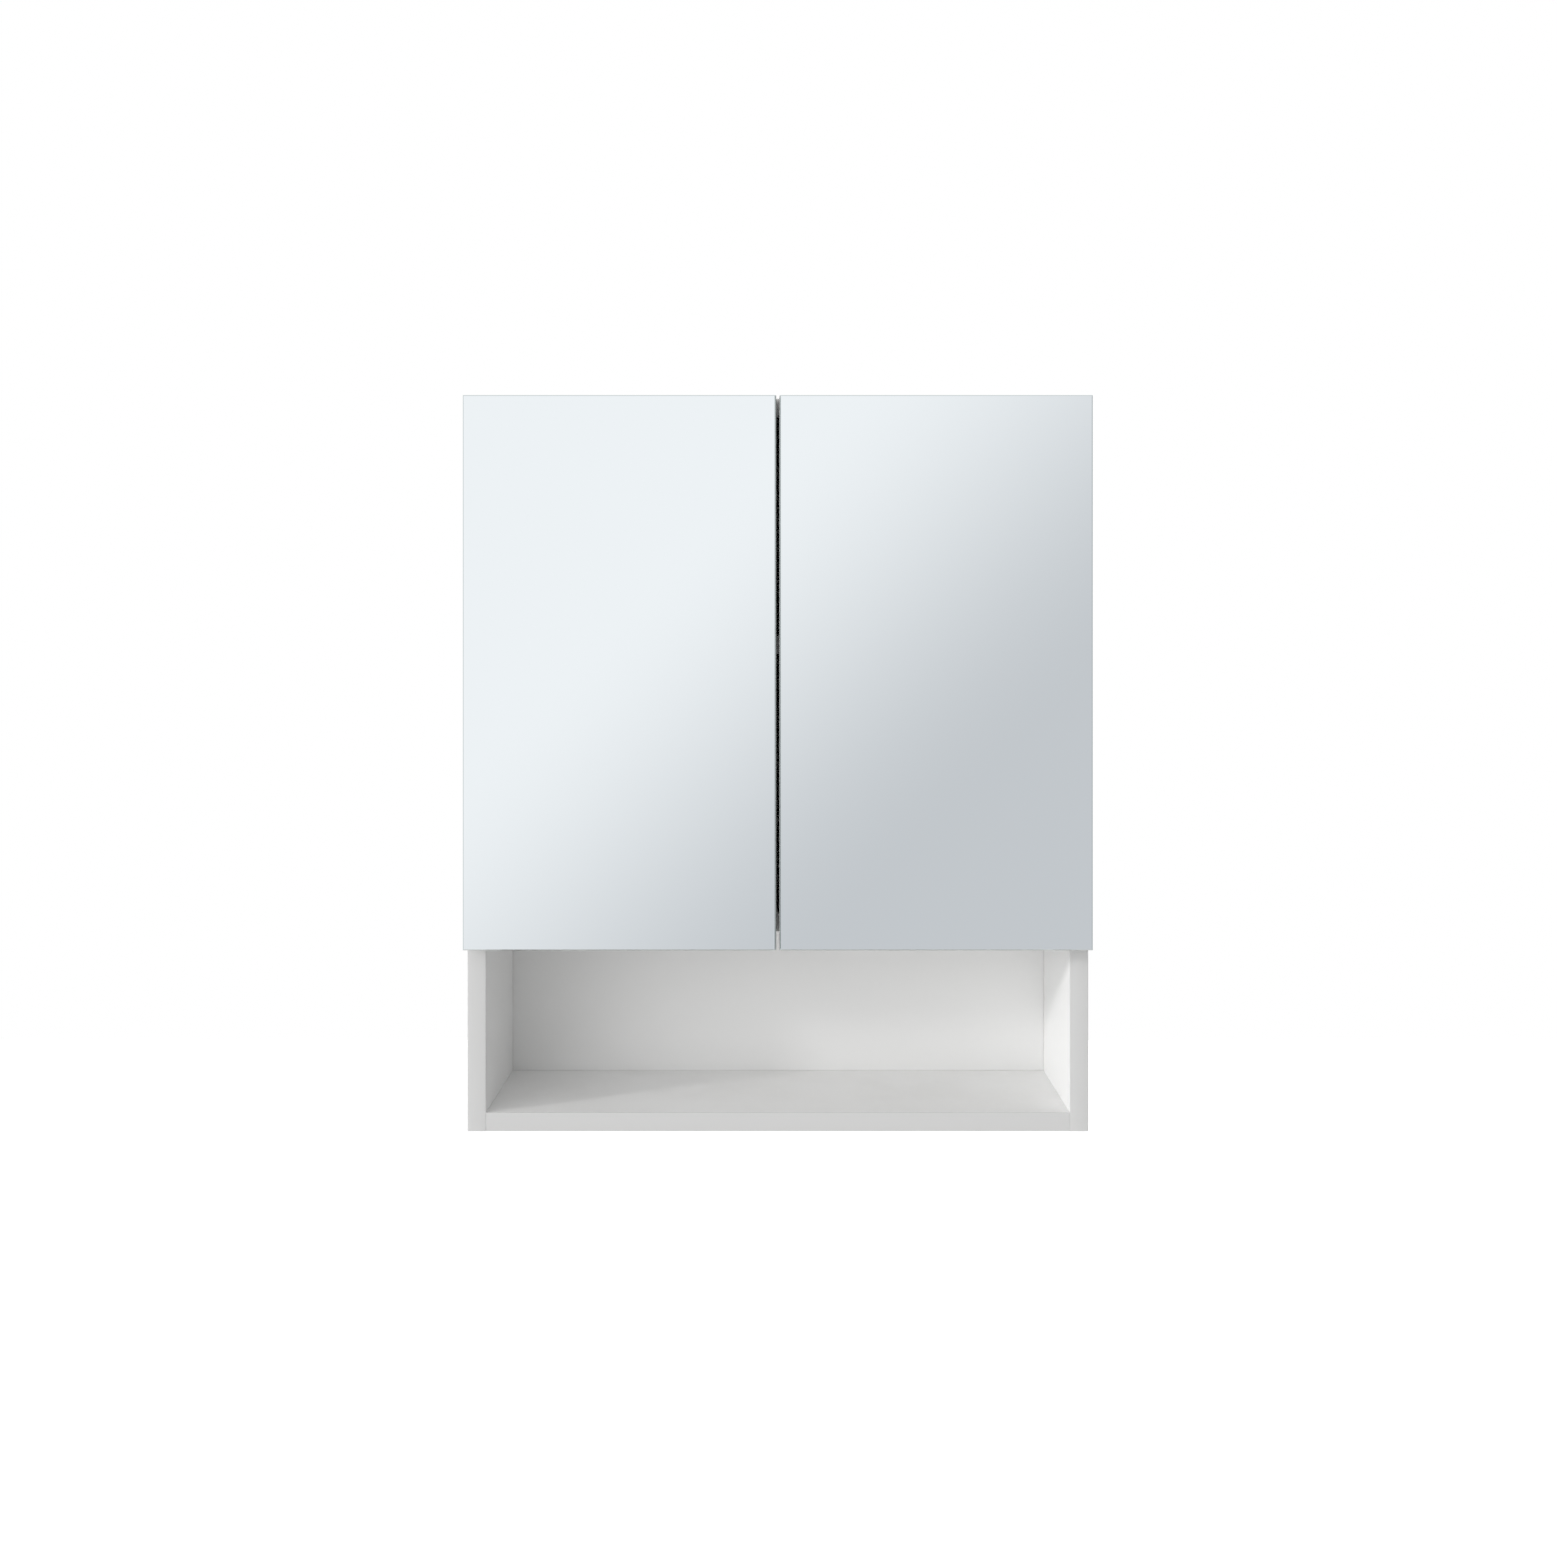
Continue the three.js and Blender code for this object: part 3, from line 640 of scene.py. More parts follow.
@cache
def material_of(finish: Finish) -> bpy.types.Material:
    """Returns the material of a finish, built the first time it is asked for."""
    return finish.build()


@dataclass(frozen=True)
class PressedFace(Finish):
    """Melamine, edging, lacquer or moulded plastic: a plain colour over a pressed grain."""

    grain: float = 1.1 * MM
    relief: float = 0.012 * MM
    spread: float = 0.02
    dust: float = 0.12
    wear: float = 0.25
    worn: Colour = (0.62, 0.6, 0.56)

    def build(self) -> bpy.types.Material:
        """Builds the material: tone, worn edges and dust for colour, grain for gloss and relief.

        Returns:
            The material.
        """
        material, tree, shader, place = self.start()
        tone = tree.group(
            batch_tone(), {"Vector": place, "Color": opaque(self.colour), "Spread": self.spread}
        )
        worn = tree.group(
            rubbed_edges(),
            {
                "Vector": place,
                "Color": tone["Color"],
                "Worn Color": opaque(self.worn),
                "Amount": self.wear,
            },
        )
        dusty = tree.group(
            settled_dust(), {"Vector": place, "Color": worn["Color"], "Amount": self.dust}
        )
        grain = tree.group(pressed_grain(), {"Vector": place, "Grain": self.grain})
        rough = tree.sum("MULTIPLY_ADD", grain["Sheen"], 0.07, self.roughness - 0.035)
        tree.put(shader.inputs["Base Color"], dusty["Color"])
        tree.put(shader.inputs["Roughness"], tree.sum("MULTIPLY_ADD", dusty["Mask"], 0.5, rough))
        tree.relief(shader, grain["Height"], self.relief)
        return material


@dataclass(frozen=True)
class CutBoard(Finish):
    """The raw cut of chipboard or the back of hardboard: flakes in glue."""

    dark: Colour = (0.3, 0.19, 0.1)
    flake: float = 1.5 * MM
    relief: float = 0.1 * MM

    def build(self) -> bpy.types.Material:
        """Builds the material: flakes for colour and relief.

        Returns:
            The material.
        """
        material, tree, shader, place = self.start()
        flakes = tree.group(
            pressed_flakes(),
            {
                "Vector": place,
                "Light": opaque(self.colour),
                "Dark": opaque(self.dark),
                "Flake": self.flake,
            },
        )
        tone = tree.group(
            batch_tone(), {"Vector": place, "Color": flakes["Color"], "Spread": 0.12}
        )
        tree.put(shader.inputs["Base Color"], tone["Color"])
        tree.put(shader.inputs["Roughness"], self.roughness)
        tree.relief(shader, flakes["Height"], self.relief)
        return material


@dataclass(frozen=True)
class Silvering(Finish):
    """The silvered face of a mirror, with barely any haze."""

    haze: float = 0.012

    def build(self) -> bpy.types.Material:
        """Builds the material: a metal whose gloss varies very slightly.

        Returns:
            The material.
        """
        material, tree, shader, place = self.start()
        tone = tree.group(
            batch_tone(), {"Vector": place, "Color": opaque(self.colour), "Spread": 0.004}
        )
        haze = tree.spread(tree.noise(place, 5.0, 4.0), 0.4, 0.7, self.roughness, self.haze)
        shader.inputs["Metallic"].default_value = 1.0
        tree.put(shader.inputs["Base Color"], tone["Color"])
        tree.put(shader.inputs["Roughness"], haze)
        return material


@dataclass(frozen=True)
class WorkedMetal(Finish):
    """Plated steel or cast zinc: lines or grain from its making, brighter on rubbed edges."""

    stretch: tuple[float, float, float] = (1.0, 0.06, 1.0)
    lines: float = 900.0
    line_share: float = 0.09
    relief: float = 0.006 * MM
    grain: float = 0.6 * MM
    worn: Colour = (0.85, 0.84, 0.82)

    def build(self) -> bpy.types.Material:
        """Builds the material: tone and rubbed edges for colour, lines for gloss and relief.

        Returns:
            The material.
        """
        material, tree, shader, place = self.start()
        lines = tree.group(
            drawn_lines(), {"Vector": place, "Stretch": self.stretch, "Lines": self.lines}
        )
        grain = tree.group(pressed_grain(), {"Vector": place, "Grain": self.grain})
        tone = tree.group(
            batch_tone(), {"Vector": place, "Color": opaque(self.colour), "Spread": 0.1}
        )
        worn = tree.group(
            rubbed_edges(),
            {
                "Vector": place,
                "Color": tone["Color"],
                "Worn Color": opaque(self.worn),
                "Amount": 0.6,
            },
        )
        rough = tree.sum("MULTIPLY_ADD", lines["Mask"], self.line_share, self.roughness)
        shader.inputs["Metallic"].default_value = 1.0
        tree.put(shader.inputs["Base Color"], worn["Color"])
        tree.put(shader.inputs["Roughness"], tree.sum("MULTIPLY_ADD", grain["Sheen"], 0.05, rough))
        height = tree.sum("MULTIPLY_ADD", grain["Height"], 0.5, lines["Height"])
        tree.relief(shader, height, self.relief)
        return material


@dataclass(frozen=True)
class ClearRubber(Finish):
    """Soft clear plastic, as of a self-adhesive door bumper."""

    def build(self) -> bpy.types.Material:
        """Builds the material: clear, with a faint haze and grain.

        Returns:
            The material.
        """
        material, tree, shader, place = self.start()
        tone = tree.group(
            batch_tone(), {"Vector": place, "Color": opaque(self.colour), "Spread": 0.06}
        )
        grain = tree.group(pressed_grain(), {"Vector": place, "Grain": 0.5 * MM})
        shader.inputs["Transmission Weight"].default_value = 0.4
        shader.inputs["IOR"].default_value = 1.46
        tree.put(shader.inputs["Base Color"], tone["Color"])
        rough = tree.sum("MULTIPLY_ADD", grain["Sheen"], 0.1, self.roughness)
        tree.put(shader.inputs["Roughness"], rough)
        tree.relief(shader, grain["Height"], 0.01 * MM)
        return material


WHITE_FACE = PressedFace("White melamine", (0.91, 0.91, 0.905), 0.42)
# Painted shade: the edge strip is the boards' white, but its colour is set darker so that the front
# edges of the carcass and the edges of the doors look dimmer than the lit boards.
STRIP_WITH_PAINTED_SHADE = PressedFace(
    "Edge strip with painted shade", (0.715, 0.715, 0.71), 0.36, grain=0.7 * MM, relief=0.006 * MM, wear=0.3
)
WHITE_PAINT = PressedFace(
    "White painted hardboard", (0.91, 0.91, 0.905), 0.5, grain=0.5 * MM, relief=0.015 * MM
)
CHIPBOARD = CutBoard("Raw chipboard", (0.6, 0.46, 0.3), 0.86)
HARDBOARD = CutBoard(
    "Raw hardboard", (0.3, 0.18, 0.1), 0.8, dark=(0.19, 0.11, 0.06), flake=0.9 * MM, relief=0.05 * MM
)
SILVER = Silvering("Mirror silvering", (0.92, 0.935, 0.93), 0.004)
GROUND_GLASS = PressedFace(
    "Ground glass edge", (0.32, 0.39, 0.37), 0.3, grain=0.3 * MM, relief=0.01 * MM, dust=0.05, wear=0.0
)
MIRROR_BACK = PressedFace("Mirror backing paint", (0.22, 0.23, 0.24), 0.6, wear=0.2)
POLISHED_ARRIS = Silvering("Polished arris", (0.65, 0.68, 0.67), 0.08, haze=0.14)
NICKEL = WorkedMetal("Nickel plated steel", (0.74, 0.73, 0.7), 0.16)
ZINC = WorkedMetal(
    "Cast zinc", (0.6, 0.61, 0.62), 0.36, stretch=(1.0, 1.0, 1.0), relief=0.02 * MM, line_share=0.12
)
SCREW_ZINC = WorkedMetal("Zinc plated screw", (0.66, 0.67, 0.69), 0.22, stretch=(1.0, 1.0, 1.0))
GALVANISED = WorkedMetal("Galvanised steel", (0.62, 0.63, 0.65), 0.3, stretch=(1.0, 1.0, 0.08))
WHITE_PLASTIC = PressedFace(
    "White moulded plastic",
    (0.8, 0.8, 0.79),
    0.44,
    grain=0.45 * MM,
    relief=0.01 * MM,
    worn=(0.7, 0.7, 0.68),
)
BUMPER_RUBBER = ClearRubber("Clear bumper", (0.93, 0.94, 0.94), 0.12)


# ---- pieces ----


def mesh_of(name: str, shape: Shape) -> bpy.types.Mesh:
    """Puts a shape into a mesh, with each face's finish number.

    Args:
        name: the mesh's name.
        shape: the shape.

    Returns:
        The mesh.
    """
    mesh = bpy.data.meshes.new(name)
    faces = [face for part in shape.faces for face in part.corners.tolist()]
    mesh.from_pydata(shape.points.tolist(), [], faces)
    counts = [len(part.corners) for part in shape.faces]
    finish = np.repeat([part.finish for part in shape.faces], counts)
    mesh.polygons.foreach_set("material_index", finish.astype(np.int32))
    return mesh


def shaped(name: str, base: Shape, added: list[Shape], taken: list[Shape]) -> bpy.types.Mesh:
    """Adds solids to a base shape and cuts others out of it.

    Args:
        name: the mesh's name.
        base: the shape to start from.
        added: closed shapes to unite with it.
        taken: closed shapes to cut out of it.

    Returns:
        The finished mesh.
    """
    made = bpy.data.objects.new(name, mesh_of(name, base))
    bpy.context.scene.collection.objects.link(made)
    tools = []
    for operation, shapes in (("UNION", added), ("DIFFERENCE", taken)):
        for shape in shapes:
            tool = bpy.data.objects.new("tool", mesh_of("tool", shape))
            bpy.context.scene.collection.objects.link(tool)
            step = made.modifiers.new(operation, "BOOLEAN")
            step.operation, step.object, step.solver = operation, tool, "EXACT"
            tools.append(tool)
    depsgraph = bpy.context.evaluated_depsgraph_get()
    mesh = bpy.data.meshes.new_from_object(made.evaluated_get(depsgraph))
    for spare in (made, *tools):
        bpy.data.objects.remove(spare)
    mesh.name = name
    return mesh


def point_table(mesh: bpy.types.Mesh) -> np.ndarray:
    """Returns the points of a mesh, one in a row.

    Args:
        mesh: the mesh.

    Returns:
        Its points.
    """
    points = np.empty(len(mesh.vertices) * 3, np.float32)
    mesh.vertices.foreach_get("co", points)
    return points.reshape(-1, 3)


def mark_edges(mesh: bpy.types.Mesh, radius: float) -> None:
    """Writes 1 into the edge value of points on a block's rounded edges and 0 elsewhere.

    A point lies on an edge when at least two of its distances to the block's six sides are under
    nine tenths of the edge radius.

    Args:
        mesh: the block's mesh.
        radius: radius of its edges.
    """
    points = point_table(mesh)
    low, high = points.min(axis=0), points.max(axis=0)
    near = np.minimum(points - low, high - points) < 0.9 * radius
    values = (near.sum(axis=1) >= 2).astype(np.float32)
    mesh.attributes.new("edge", "FLOAT", "POINT").data.foreach_set("value", values)


def face_table(mesh: bpy.types.Mesh) -> tuple[np.ndarray, np.ndarray]:
    """Reads a mesh's faces.

    Args:
        mesh: the mesh.

    Returns:
        The middle and the direction of each face, one in a row.
    """
    middles = np.empty(len(mesh.polygons) * 3, np.float32)
    facing = np.empty(len(mesh.polygons) * 3, np.float32)
    mesh.polygons.foreach_get("center", middles)
    mesh.polygons.foreach_get("normal", facing)
    return middles.reshape(-1, 3), facing.reshape(-1, 3)


def finish_board(mesh: bpy.types.Mesh, depth: float = 0.3 * MM, raw_rear: bool = True) -> None:
    """Gives the raw finish, number 1, to the walls of bores and grooves and to the rear edge.

    A face is inside the board when its middle is further than depth from all six sides.

    Args:
        mesh: the board's mesh.
        depth: how far inside a bore's wall lies at least.
        raw_rear: whether the rear edge has no strip.
    """
    middles, facing = face_table(mesh)
    points = point_table(mesh)
    low, high = points.min(axis=0), points.max(axis=0)
    inside = np.minimum(middles - low, high - middles).min(axis=1) > depth
    rear = (facing[:, 1] > 0.9) & (middles[:, 1] > high[1] - depth) & raw_rear
    mesh.polygons.foreach_set("material_index", (inside | rear).astype(np.int32))


def make_piece(
    name: str,
    mesh: bpy.types.Mesh,
    body: str,
    finishes: list[Finish],
    stands_for: list[str] | None = None,
    bevel: float = 0.0,
) -> bpy.types.Object:
    """Makes a finished piece that rides on a body of the frame.

    Flat faces square to the frame stay flat, and the rest are shaded smooth up to 40 degrees.

    Args:
        name: the piece's name.
        mesh: its mesh, in place.
        body: the body that it moves with.
        finishes: its finishes, in the order of the faces' finish numbers.
        stands_for: CAD nodes that it replaces.
        bevel: width of the edges' bevel, nought for none.

    Returns:
        The piece.
    """
    numbers = np.empty(len(mesh.polygons), np.int32)
    mesh.polygons.foreach_get("material_index", numbers)
    mesh.materials.clear()
    for finish in finishes:
        mesh.materials.append(material_of(finish))
    mesh.polygons.foreach_set("material_index", numbers)
    piece = bpy.data.objects.new(name, mesh)
    bpy.context.scene.collection.objects.link(piece)
    if bevel:
        mesh.polygons.foreach_set("use_smooth", np.ones(len(mesh.polygons), bool))
        edges = piece.modifiers.new("edges", "BEVEL")
        edges.width, edges.segments, edges.limit_method = bevel, 2, "ANGLE"
        edges.angle_limit, edges.harden_normals = math.radians(35), True
    else:
        facing = face_table(mesh)[1]
        mesh.polygons.foreach_set("use_smooth", np.abs(facing).max(axis=1) < 0.99999)
    mesh.set_sharp_from_angle(angle=math.radians(40))
    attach(piece, body)
    if stands_for:
        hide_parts(*stands_for)
    log.info("%s: %d faces on %s", name, len(mesh.polygons), body)
    return piece


def box_of(node: str) -> tuple[np.ndarray, np.ndarray]:
    """Returns the lowest and the highest corner of a CAD node."""
    low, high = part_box(node)
    return np.array(low), np.array(high)


def left_box(node: str, side: str) -> tuple[np.ndarray, np.ndarray]:
    """Returns a paired node's box as if it were on the left.

    Args:
        node: the node's name without its side.
        side: the side that it is on.

    Returns:
        The lowest and the highest corner, with x turned round for the right side.
    """
    low, high = box_of(f"{node}_{side}")
    if SIDES[side] > 0:
        return low, high
    flip = np.array([-1.0, 1.0, 1.0])
    return np.minimum(low * flip, high * flip), np.maximum(low * flip, high * flip)


# ---- carcass ----


@dataclass
class Carcass:
    """The white boards, each with an edge strip along its front and its bores and grooves."""

    strip: float = STRIP
    strip_radius: float = 0.7 * MM
    edge: float = 0.3 * MM
    pin_hole: float = 2.6 * MM
    pin_hole_depth: float = 9.0 * MM
    pin_collar: float = 4.0 * MM
    pin_pitch: float = 32.0 * MM
    cam_radius: float = CAM_RADIUS
    cam_play: float = 0.15 * MM
    cam_depth: float = 13.9 * MM
    groove_play: float = 0.3 * MM
    hook_drop: float = 11.0 * MM
    hook_rise: float = 7.0 * MM
    slot_play: float = 1.0 * MM
    slot_travel: float = 8.0 * MM

    def groove_block(self) -> Shape:
        """Returns the room of the back panel and its play, which the boards are grooved for."""
        low, high = box_of("back_panel")
        return rounded_block(low - self.groove_play, high + self.groove_play, 0.01 * MM, 1)

    def strip_along(self, node: str, axis: Axis) -> Shape:
        """The edge strip on a board's front: a flat strip with its two front edges rounded.

        Args:
            node: the board.
            axis: the direction that the strip runs along.

        Returns:
            The strip.
        """
        low, high = box_of(node)
        u, v = (axis.value + 1) % 3, (axis.value + 2) % 3
        front, rear = low[1], low[1] + self.strip
        near, far = low.copy(), high.copy()
        near[1], far[1] = front, rear
        corners = [(near[u], near[v]), (far[u], near[v]), (far[u], far[v]), (near[u], far[v])]
        place_of_y = 0 if u == Axis.Y.value else 1
        radii = [self.strip_radius if corner[place_of_y] == front else 0.0 for corner in corners]
        return carried(rounded_outline(corners, radii), low[axis.value], high[axis.value], axis)

    def board(self, node: str, axis: Axis, taken: list[Shape]) -> None:
        """Makes one board and its front edge strip.

        Args:
            node: the CAD node that it stands for.
            axis: the direction that its strip runs along.
            taken: bores and grooves.
        """
        low, high = box_of(node)
        behind = low + np.array([0.0, self.strip, 0.0])
        mesh = shaped(node, rounded_block(behind, high, self.edge), [], taken)
        finish_board(mesh)
        mark_edges(mesh, self.edge)
        finishes = [WHITE_FACE, CHIPBOARD]
        make_piece(f"{node}_board", mesh, "carcass", finishes, [node])
        strip = mesh_of(f"{node}_strip", self.strip_along(node, axis))
        # The front strip's finish is darker than the board's, as painted shade.
        make_piece(f"{node}_front_strip", strip, "carcass", [STRIP_WITH_PAINTED_SHADE])

    def pin_holes(self, side: str) -> list[Shape]:
        """The shelf pin holes of one side panel: one at each pin, one above it and one below.

        Args:
            side: the panel's side.

        Returns:
            The bores.
        """
        inner = left_box("side_panel", side)[1][0]
        hole = [(0.0, -self.pin_hole_depth), (self.pin_hole, -self.pin_hole_depth)]
        profile = hole + [(self.pin_hole, MM), (0.0, MM)]
        bores = []
        for row in ("front", "rear"):
            low, high = left_box(f"shelf_pin_{row}", side)
            y, level = (low[1] + high[1]) / 2, low[2] + self.pin_collar
            for step in (-1, 0, 1):
                place = (inner, y, level + step * self.pin_pitch)
                bores.append(turned(profile, place, Axis.X, 32).mirrored(SIDES[side]))
        return bores

    def cam_pockets(self, panel: str) -> list[Shape]:
        """The round pockets that a level panel's four cams sit in.

        Args:
            panel: top, divider or bottom.

        Returns:
            The pockets.
        """
        radius, up = self.cam_radius + self.cam_play, -1 if panel == "bottom" else 1
        face = box_of(f"{panel}_panel")[0 if up < 0 else 1][2]
        ends = sorted([face - up * self.cam_depth, face + up * MM])
        profile = [(0.0, ends[0]), (radius, ends[0]), (radius, ends[1]), (0.0, ends[1])]
        pockets = []
        for side, sign in SIDES.items():
            for row in ("front", "rear"):
                low, high = left_box(f"cam_bolt_{panel}_{row}", side)
                place = (high[0] - self.cam_radius, (low[1] + high[1]) / 2, 0.0)
                pockets.append(turned(profile, place, Axis.Z, 48).mirrored(sign))
        return pockets

    def back(self) -> None:
        """Makes the back panel: painted in front, raw behind, with a slot for each hook."""
        low, high = box_of("back_panel")
        slots = []
        for side in SIDES:
            hook_low, hook_high = box_of(f"hanger_hook_{side}")
            bottom, top = -self.hook_drop - self.slot_travel, self.hook_rise + self.slot_travel
            near = (hook_low[0] - self.slot_play, low[1] - MM, bottom)
            far = (hook_high[0] + self.slot_play, high[1] + MM, top)
            slots.append(rounded_block(near, far, 0.4 * MM))
        mesh = shaped("back_panel", rounded_block(low, high, 0.1 * MM, 1), [], slots)
        raw = face_table(mesh)[1][:, 1] > -0.5
        mesh.polygons.foreach_set("material_index", raw.astype(np.int32))
        finishes = [WHITE_PAINT, HARDBOARD]
        make_piece("back_board", mesh, "carcass", finishes, ["back_panel"])

    def build(self) -> None:
        """Makes every board of the carcass."""
        groove = self.groove_block()
        for side in SIDES:
            self.board(f"side_panel_{side}", Axis.Z, [*self.pin_holes(side), groove])
        self.board("top_panel", Axis.X, [*self.cam_pockets("top"), groove])
        self.board("divider_panel", Axis.X, self.cam_pockets("divider"))
        self.board("bottom_panel", Axis.X, [*self.cam_pockets("bottom"), groove])
        self.board("shelf", Axis.X, [])
        self.back()


@dataclass
class Screw:
    """A pan head screw with a cross recess, seen from its head."""

    radius: float = 3.6 * MM
    head: float = 1.9 * MM
    recess: float = 0.62
    slot: float = 0.34 * MM
    rim: float = 0.2 * MM
    rim_share: float = 0.35
    roundness: float = 0.6
    slot_deep: float = 0.45

    def mesh(
        self, name: str, place: tuple[float, float, float], axis: Axis, way: float
    ) -> bpy.types.Mesh:
        """The head: a dome turned from its rim to its crown, with two crossed slots cut in.

        Args:
            name: the mesh's name.
            place: the middle of the head's seat.
            axis: the screw's axis.
            way: 1 if the head looks up the axis, -1 if down it.

        Returns:
            The mesh.
        """
        angle = np.linspace(0, math.pi / 2, 7)
        across = self.radius * np.cos(angle) ** self.roundness
        rise = self.rim_share + (1 - self.rim_share) * np.sin(angle)
        dome = np.stack([across, self.head * rise], 1)
        dome[-1, 0] = 0.0
        seat = [(0.0, 0.0), (self.radius * 0.96, 0.0), (self.radius, self.rim)]
        profile = [*seat, *map(tuple, dome)]
        if way < 0:
            profile = [(radius, -height) for radius, height in profile[::-1]]
        head = turned(profile, place, axis, 32)
        reach, half = self.recess * self.radius, self.slot / 2
        deep, proud = sorted([way * self.head * self.slot_deep, way * self.head * 1.5])
        cross = ((axis.value + 1) % 3, (axis.value + 2) % 3)
        slots = []
        for sizes in ((reach, half), (half, reach)):
            low, high = np.array(place, float), np.array(place, float)
            low[axis.value], high[axis.value] = place[axis.value] + deep, place[axis.value] + proud
            for k, size in zip(cross, sizes):
                low[k], high[k] = place[k] - size, place[k] + size
            slots.append(rounded_block(low, high, 0.05 * MM, 1))
        return shaped(name, head, [], slots)


@dataclass
class Fittings:
    """Cams with their bolts, shelf pins and door bumpers."""

    cam_radius: float = CAM_RADIUS
    bolt: float = 3.5 * MM
    bolt_tip: float = 1.2 * MM
    thread: float = 2.5 * MM
    thread_root: float = 0.72
    thread_pitch: float = 1.6 * MM
    pin: float = 2.5 * MM
    collar: float = 4.0 * MM
    collar_thick: float = 1.0 * MM
    play: float = 0.3 * MM
    rim: float = 0.3 * MM
    driven_rim: float = 0.5 * MM
    ring: tuple[float, float] = (1.2 * MM, 2.9 * MM)
    ring_slope: float = 0.3 * MM
    ring_deep: float = 0.4 * MM
    slot_deep: float = 2.0 * MM
    slot_half: float = 0.8 * MM
    slot_reach: tuple[float, float] = (3.6 * MM, 2.4 * MM)

    def cam_profile(self, low: float, high: float, up: float) -> list[tuple[float, float]]:
        """A cam's turned profile: chamfered rims, and a shallow ring round its driven face.

        Args:
            low: its low end.
            high: its high end.
            up: 1 if its driven face looks up, -1 if down.

        Returns:
            Radius and height of each profile point.
        """
        r, rim, (outer, inner) = self.cam_radius, self.rim, self.ring
        face = [
            (r, -self.driven_rim),
            (r - self.driven_rim, 0.0),
            (r - outer, 0.0),
            (r - outer - self.ring_slope, -self.ring_deep),
            (r - inner + self.ring_slope, -self.ring_deep),
            (r - inner, 0.0),
            (0.0, 0.0),
        ]
        if up > 0:
            plain = [(0.0, low), (r - rim, low), (r, low + rim)]
            return plain + [(a, high + b) for a, b in face]
        driven = [(a, low - b) for a, b in face[::-1]]
        return driven + [(r, high - rim), (r - rim, high), (0.0, high)]

    def cam(self, panel: str, row: str, side: str) -> None:
        """Makes one cam with a cross slot, and its bolt with a thread of turned ridges.

        Args:
            panel: top, divider or bottom.
            row: front or rear.
            side: left or right.
        """
        node, sign = f"cam_bolt_{panel}_{row}", SIDES[side]
        low, high = left_box(node, side)
        x, y = high[0] - self.cam_radius, (low[1] + high[1]) / 2
        up = -1 if panel == "bottom" else 1
        cam = turned(self.cam_profile(low[2], high[2], up), (x, y, 0.0), Axis.Z, 48)
        face = high[2] if up > 0 else low[2]
        slot_low, slot_high = sorted([face + up * MM, face - up * self.slot_deep])
        half, (along, across) = self.slot_half, self.slot_reach
        slots = [
            rounded_block((x - a, y - b, slot_low), (x + a, y + b, slot_high), 0.05 * MM, 1)
            for a, b in ((along, half), (half, across))
        ]
        middle = box_of(f"{panel}_panel")
        level = (middle[0][2] + middle[1][2]) / 2
        inner = left_box("side_panel", side)[1][0]
        ridge = np.arange(low[0] + self.bolt_tip, inner - 0.6 * MM, self.thread_pitch / 2)
        radii = (self.thread * self.thread_root, self.thread)
        ridges = [(radii[i % 2], float(place)) for i, place in enumerate(ridge)]
        tip, end = [(0.0, low[0]), (self.bolt_tip, low[0])], x - 1 * MM
        profile = [*tip, *ridges, (self.bolt, inner), (self.bolt, end), (0.0, end)]
        bolt = turned(profile, (0.0, y, level), Axis.X, 24)
        taken = [slot.mirrored(sign) for slot in slots]
        mesh = shaped(node, cam.mirrored(sign), [bolt.mirrored(sign)], taken)
        make_piece(f"{node}_{side}_cast", mesh, "carcass", [ZINC], [f"{node}_{side}"])

    def shelf_pin(self, row: str, side: str) -> None:
        """Makes one shelf pin: a turned stub, collar and tongue, flattened where the shelf lies.

        Args:
            row: front or rear.
            side: left or right.
        """
        node = f"shelf_pin_{row}"
        low, high = left_box(node, side)
        y, level = (low[1] + high[1]) / 2, low[2] + self.collar
        inner = left_box("side_panel", side)[1][0] + self.play
        tip, end = 0.5 * MM, high[0]
        profile = [
            (0.0, low[0]),
            (self.pin - tip, low[0]),
            (self.pin, low[0] + tip),
            (self.pin, inner),
            (self.collar - 0.2 * MM, inner),
            (self.collar, inner + 0.2 * MM),
            (self.collar, inner + self.collar_thick - 0.2 * MM),
            (self.collar - 0.2 * MM, inner + self.collar_thick),
            (self.pin, inner + self.collar_thick),
            (self.pin, end - tip),
            (self.pin - tip, end),
            (0.0, end),
        ]
        shape = turned(profile, (0.0, y, level), Axis.X, 32)
        seat = level + self.pin
        shape.points[:, 2] = np.minimum(shape.points[:, 2], seat)
        mesh = mesh_of(node, shape.mirrored(SIDES[side]))
        make_piece(f"{node}_{side}_turned", mesh, "carcass", [ZINC], [f"{node}_{side}"])

    def bumper(self, level: str, side: str) -> None:
        """Makes one bumper: a clear dome on the carcass's front.

        Args:
            level: upper or lower.
            side: left or right.
        """
        node = f"door_bumper_{level}"
        low, high = left_box(node, side)
        radius, rise = (high[0] - low[0]) / 2, high[1] - low[1]
        angle = np.linspace(0, math.pi / 2, 9)
        dome = np.stack([radius * np.sin(angle), -rise * np.cos(angle) ** 0.7], 1)
        profile = [*map(tuple, dome), (0.0, 0.0)]
        place = ((low[0] + high[0]) / 2, high[1], (low[2] + high[2]) / 2)
        mesh = mesh_of(node, turned(profile, place, Axis.Y, 32).mirrored(SIDES[side]))
        finishes = [BUMPER_RUBBER]
        make_piece(f"{node}_{side}_dome", mesh, "carcass", finishes, [f"{node}_{side}"])

    def build(self) -> None:
        """Makes every cam, shelf pin and bumper."""
        for side in SIDES:
            for row in ("front", "rear"):
                self.shelf_pin(row, side)
                for panel in ("top", "divider", "bottom"):
                    self.cam(panel, row, side)
            for level in ("upper", "lower"):
                self.bumper(level, side)


# ---- doors ----


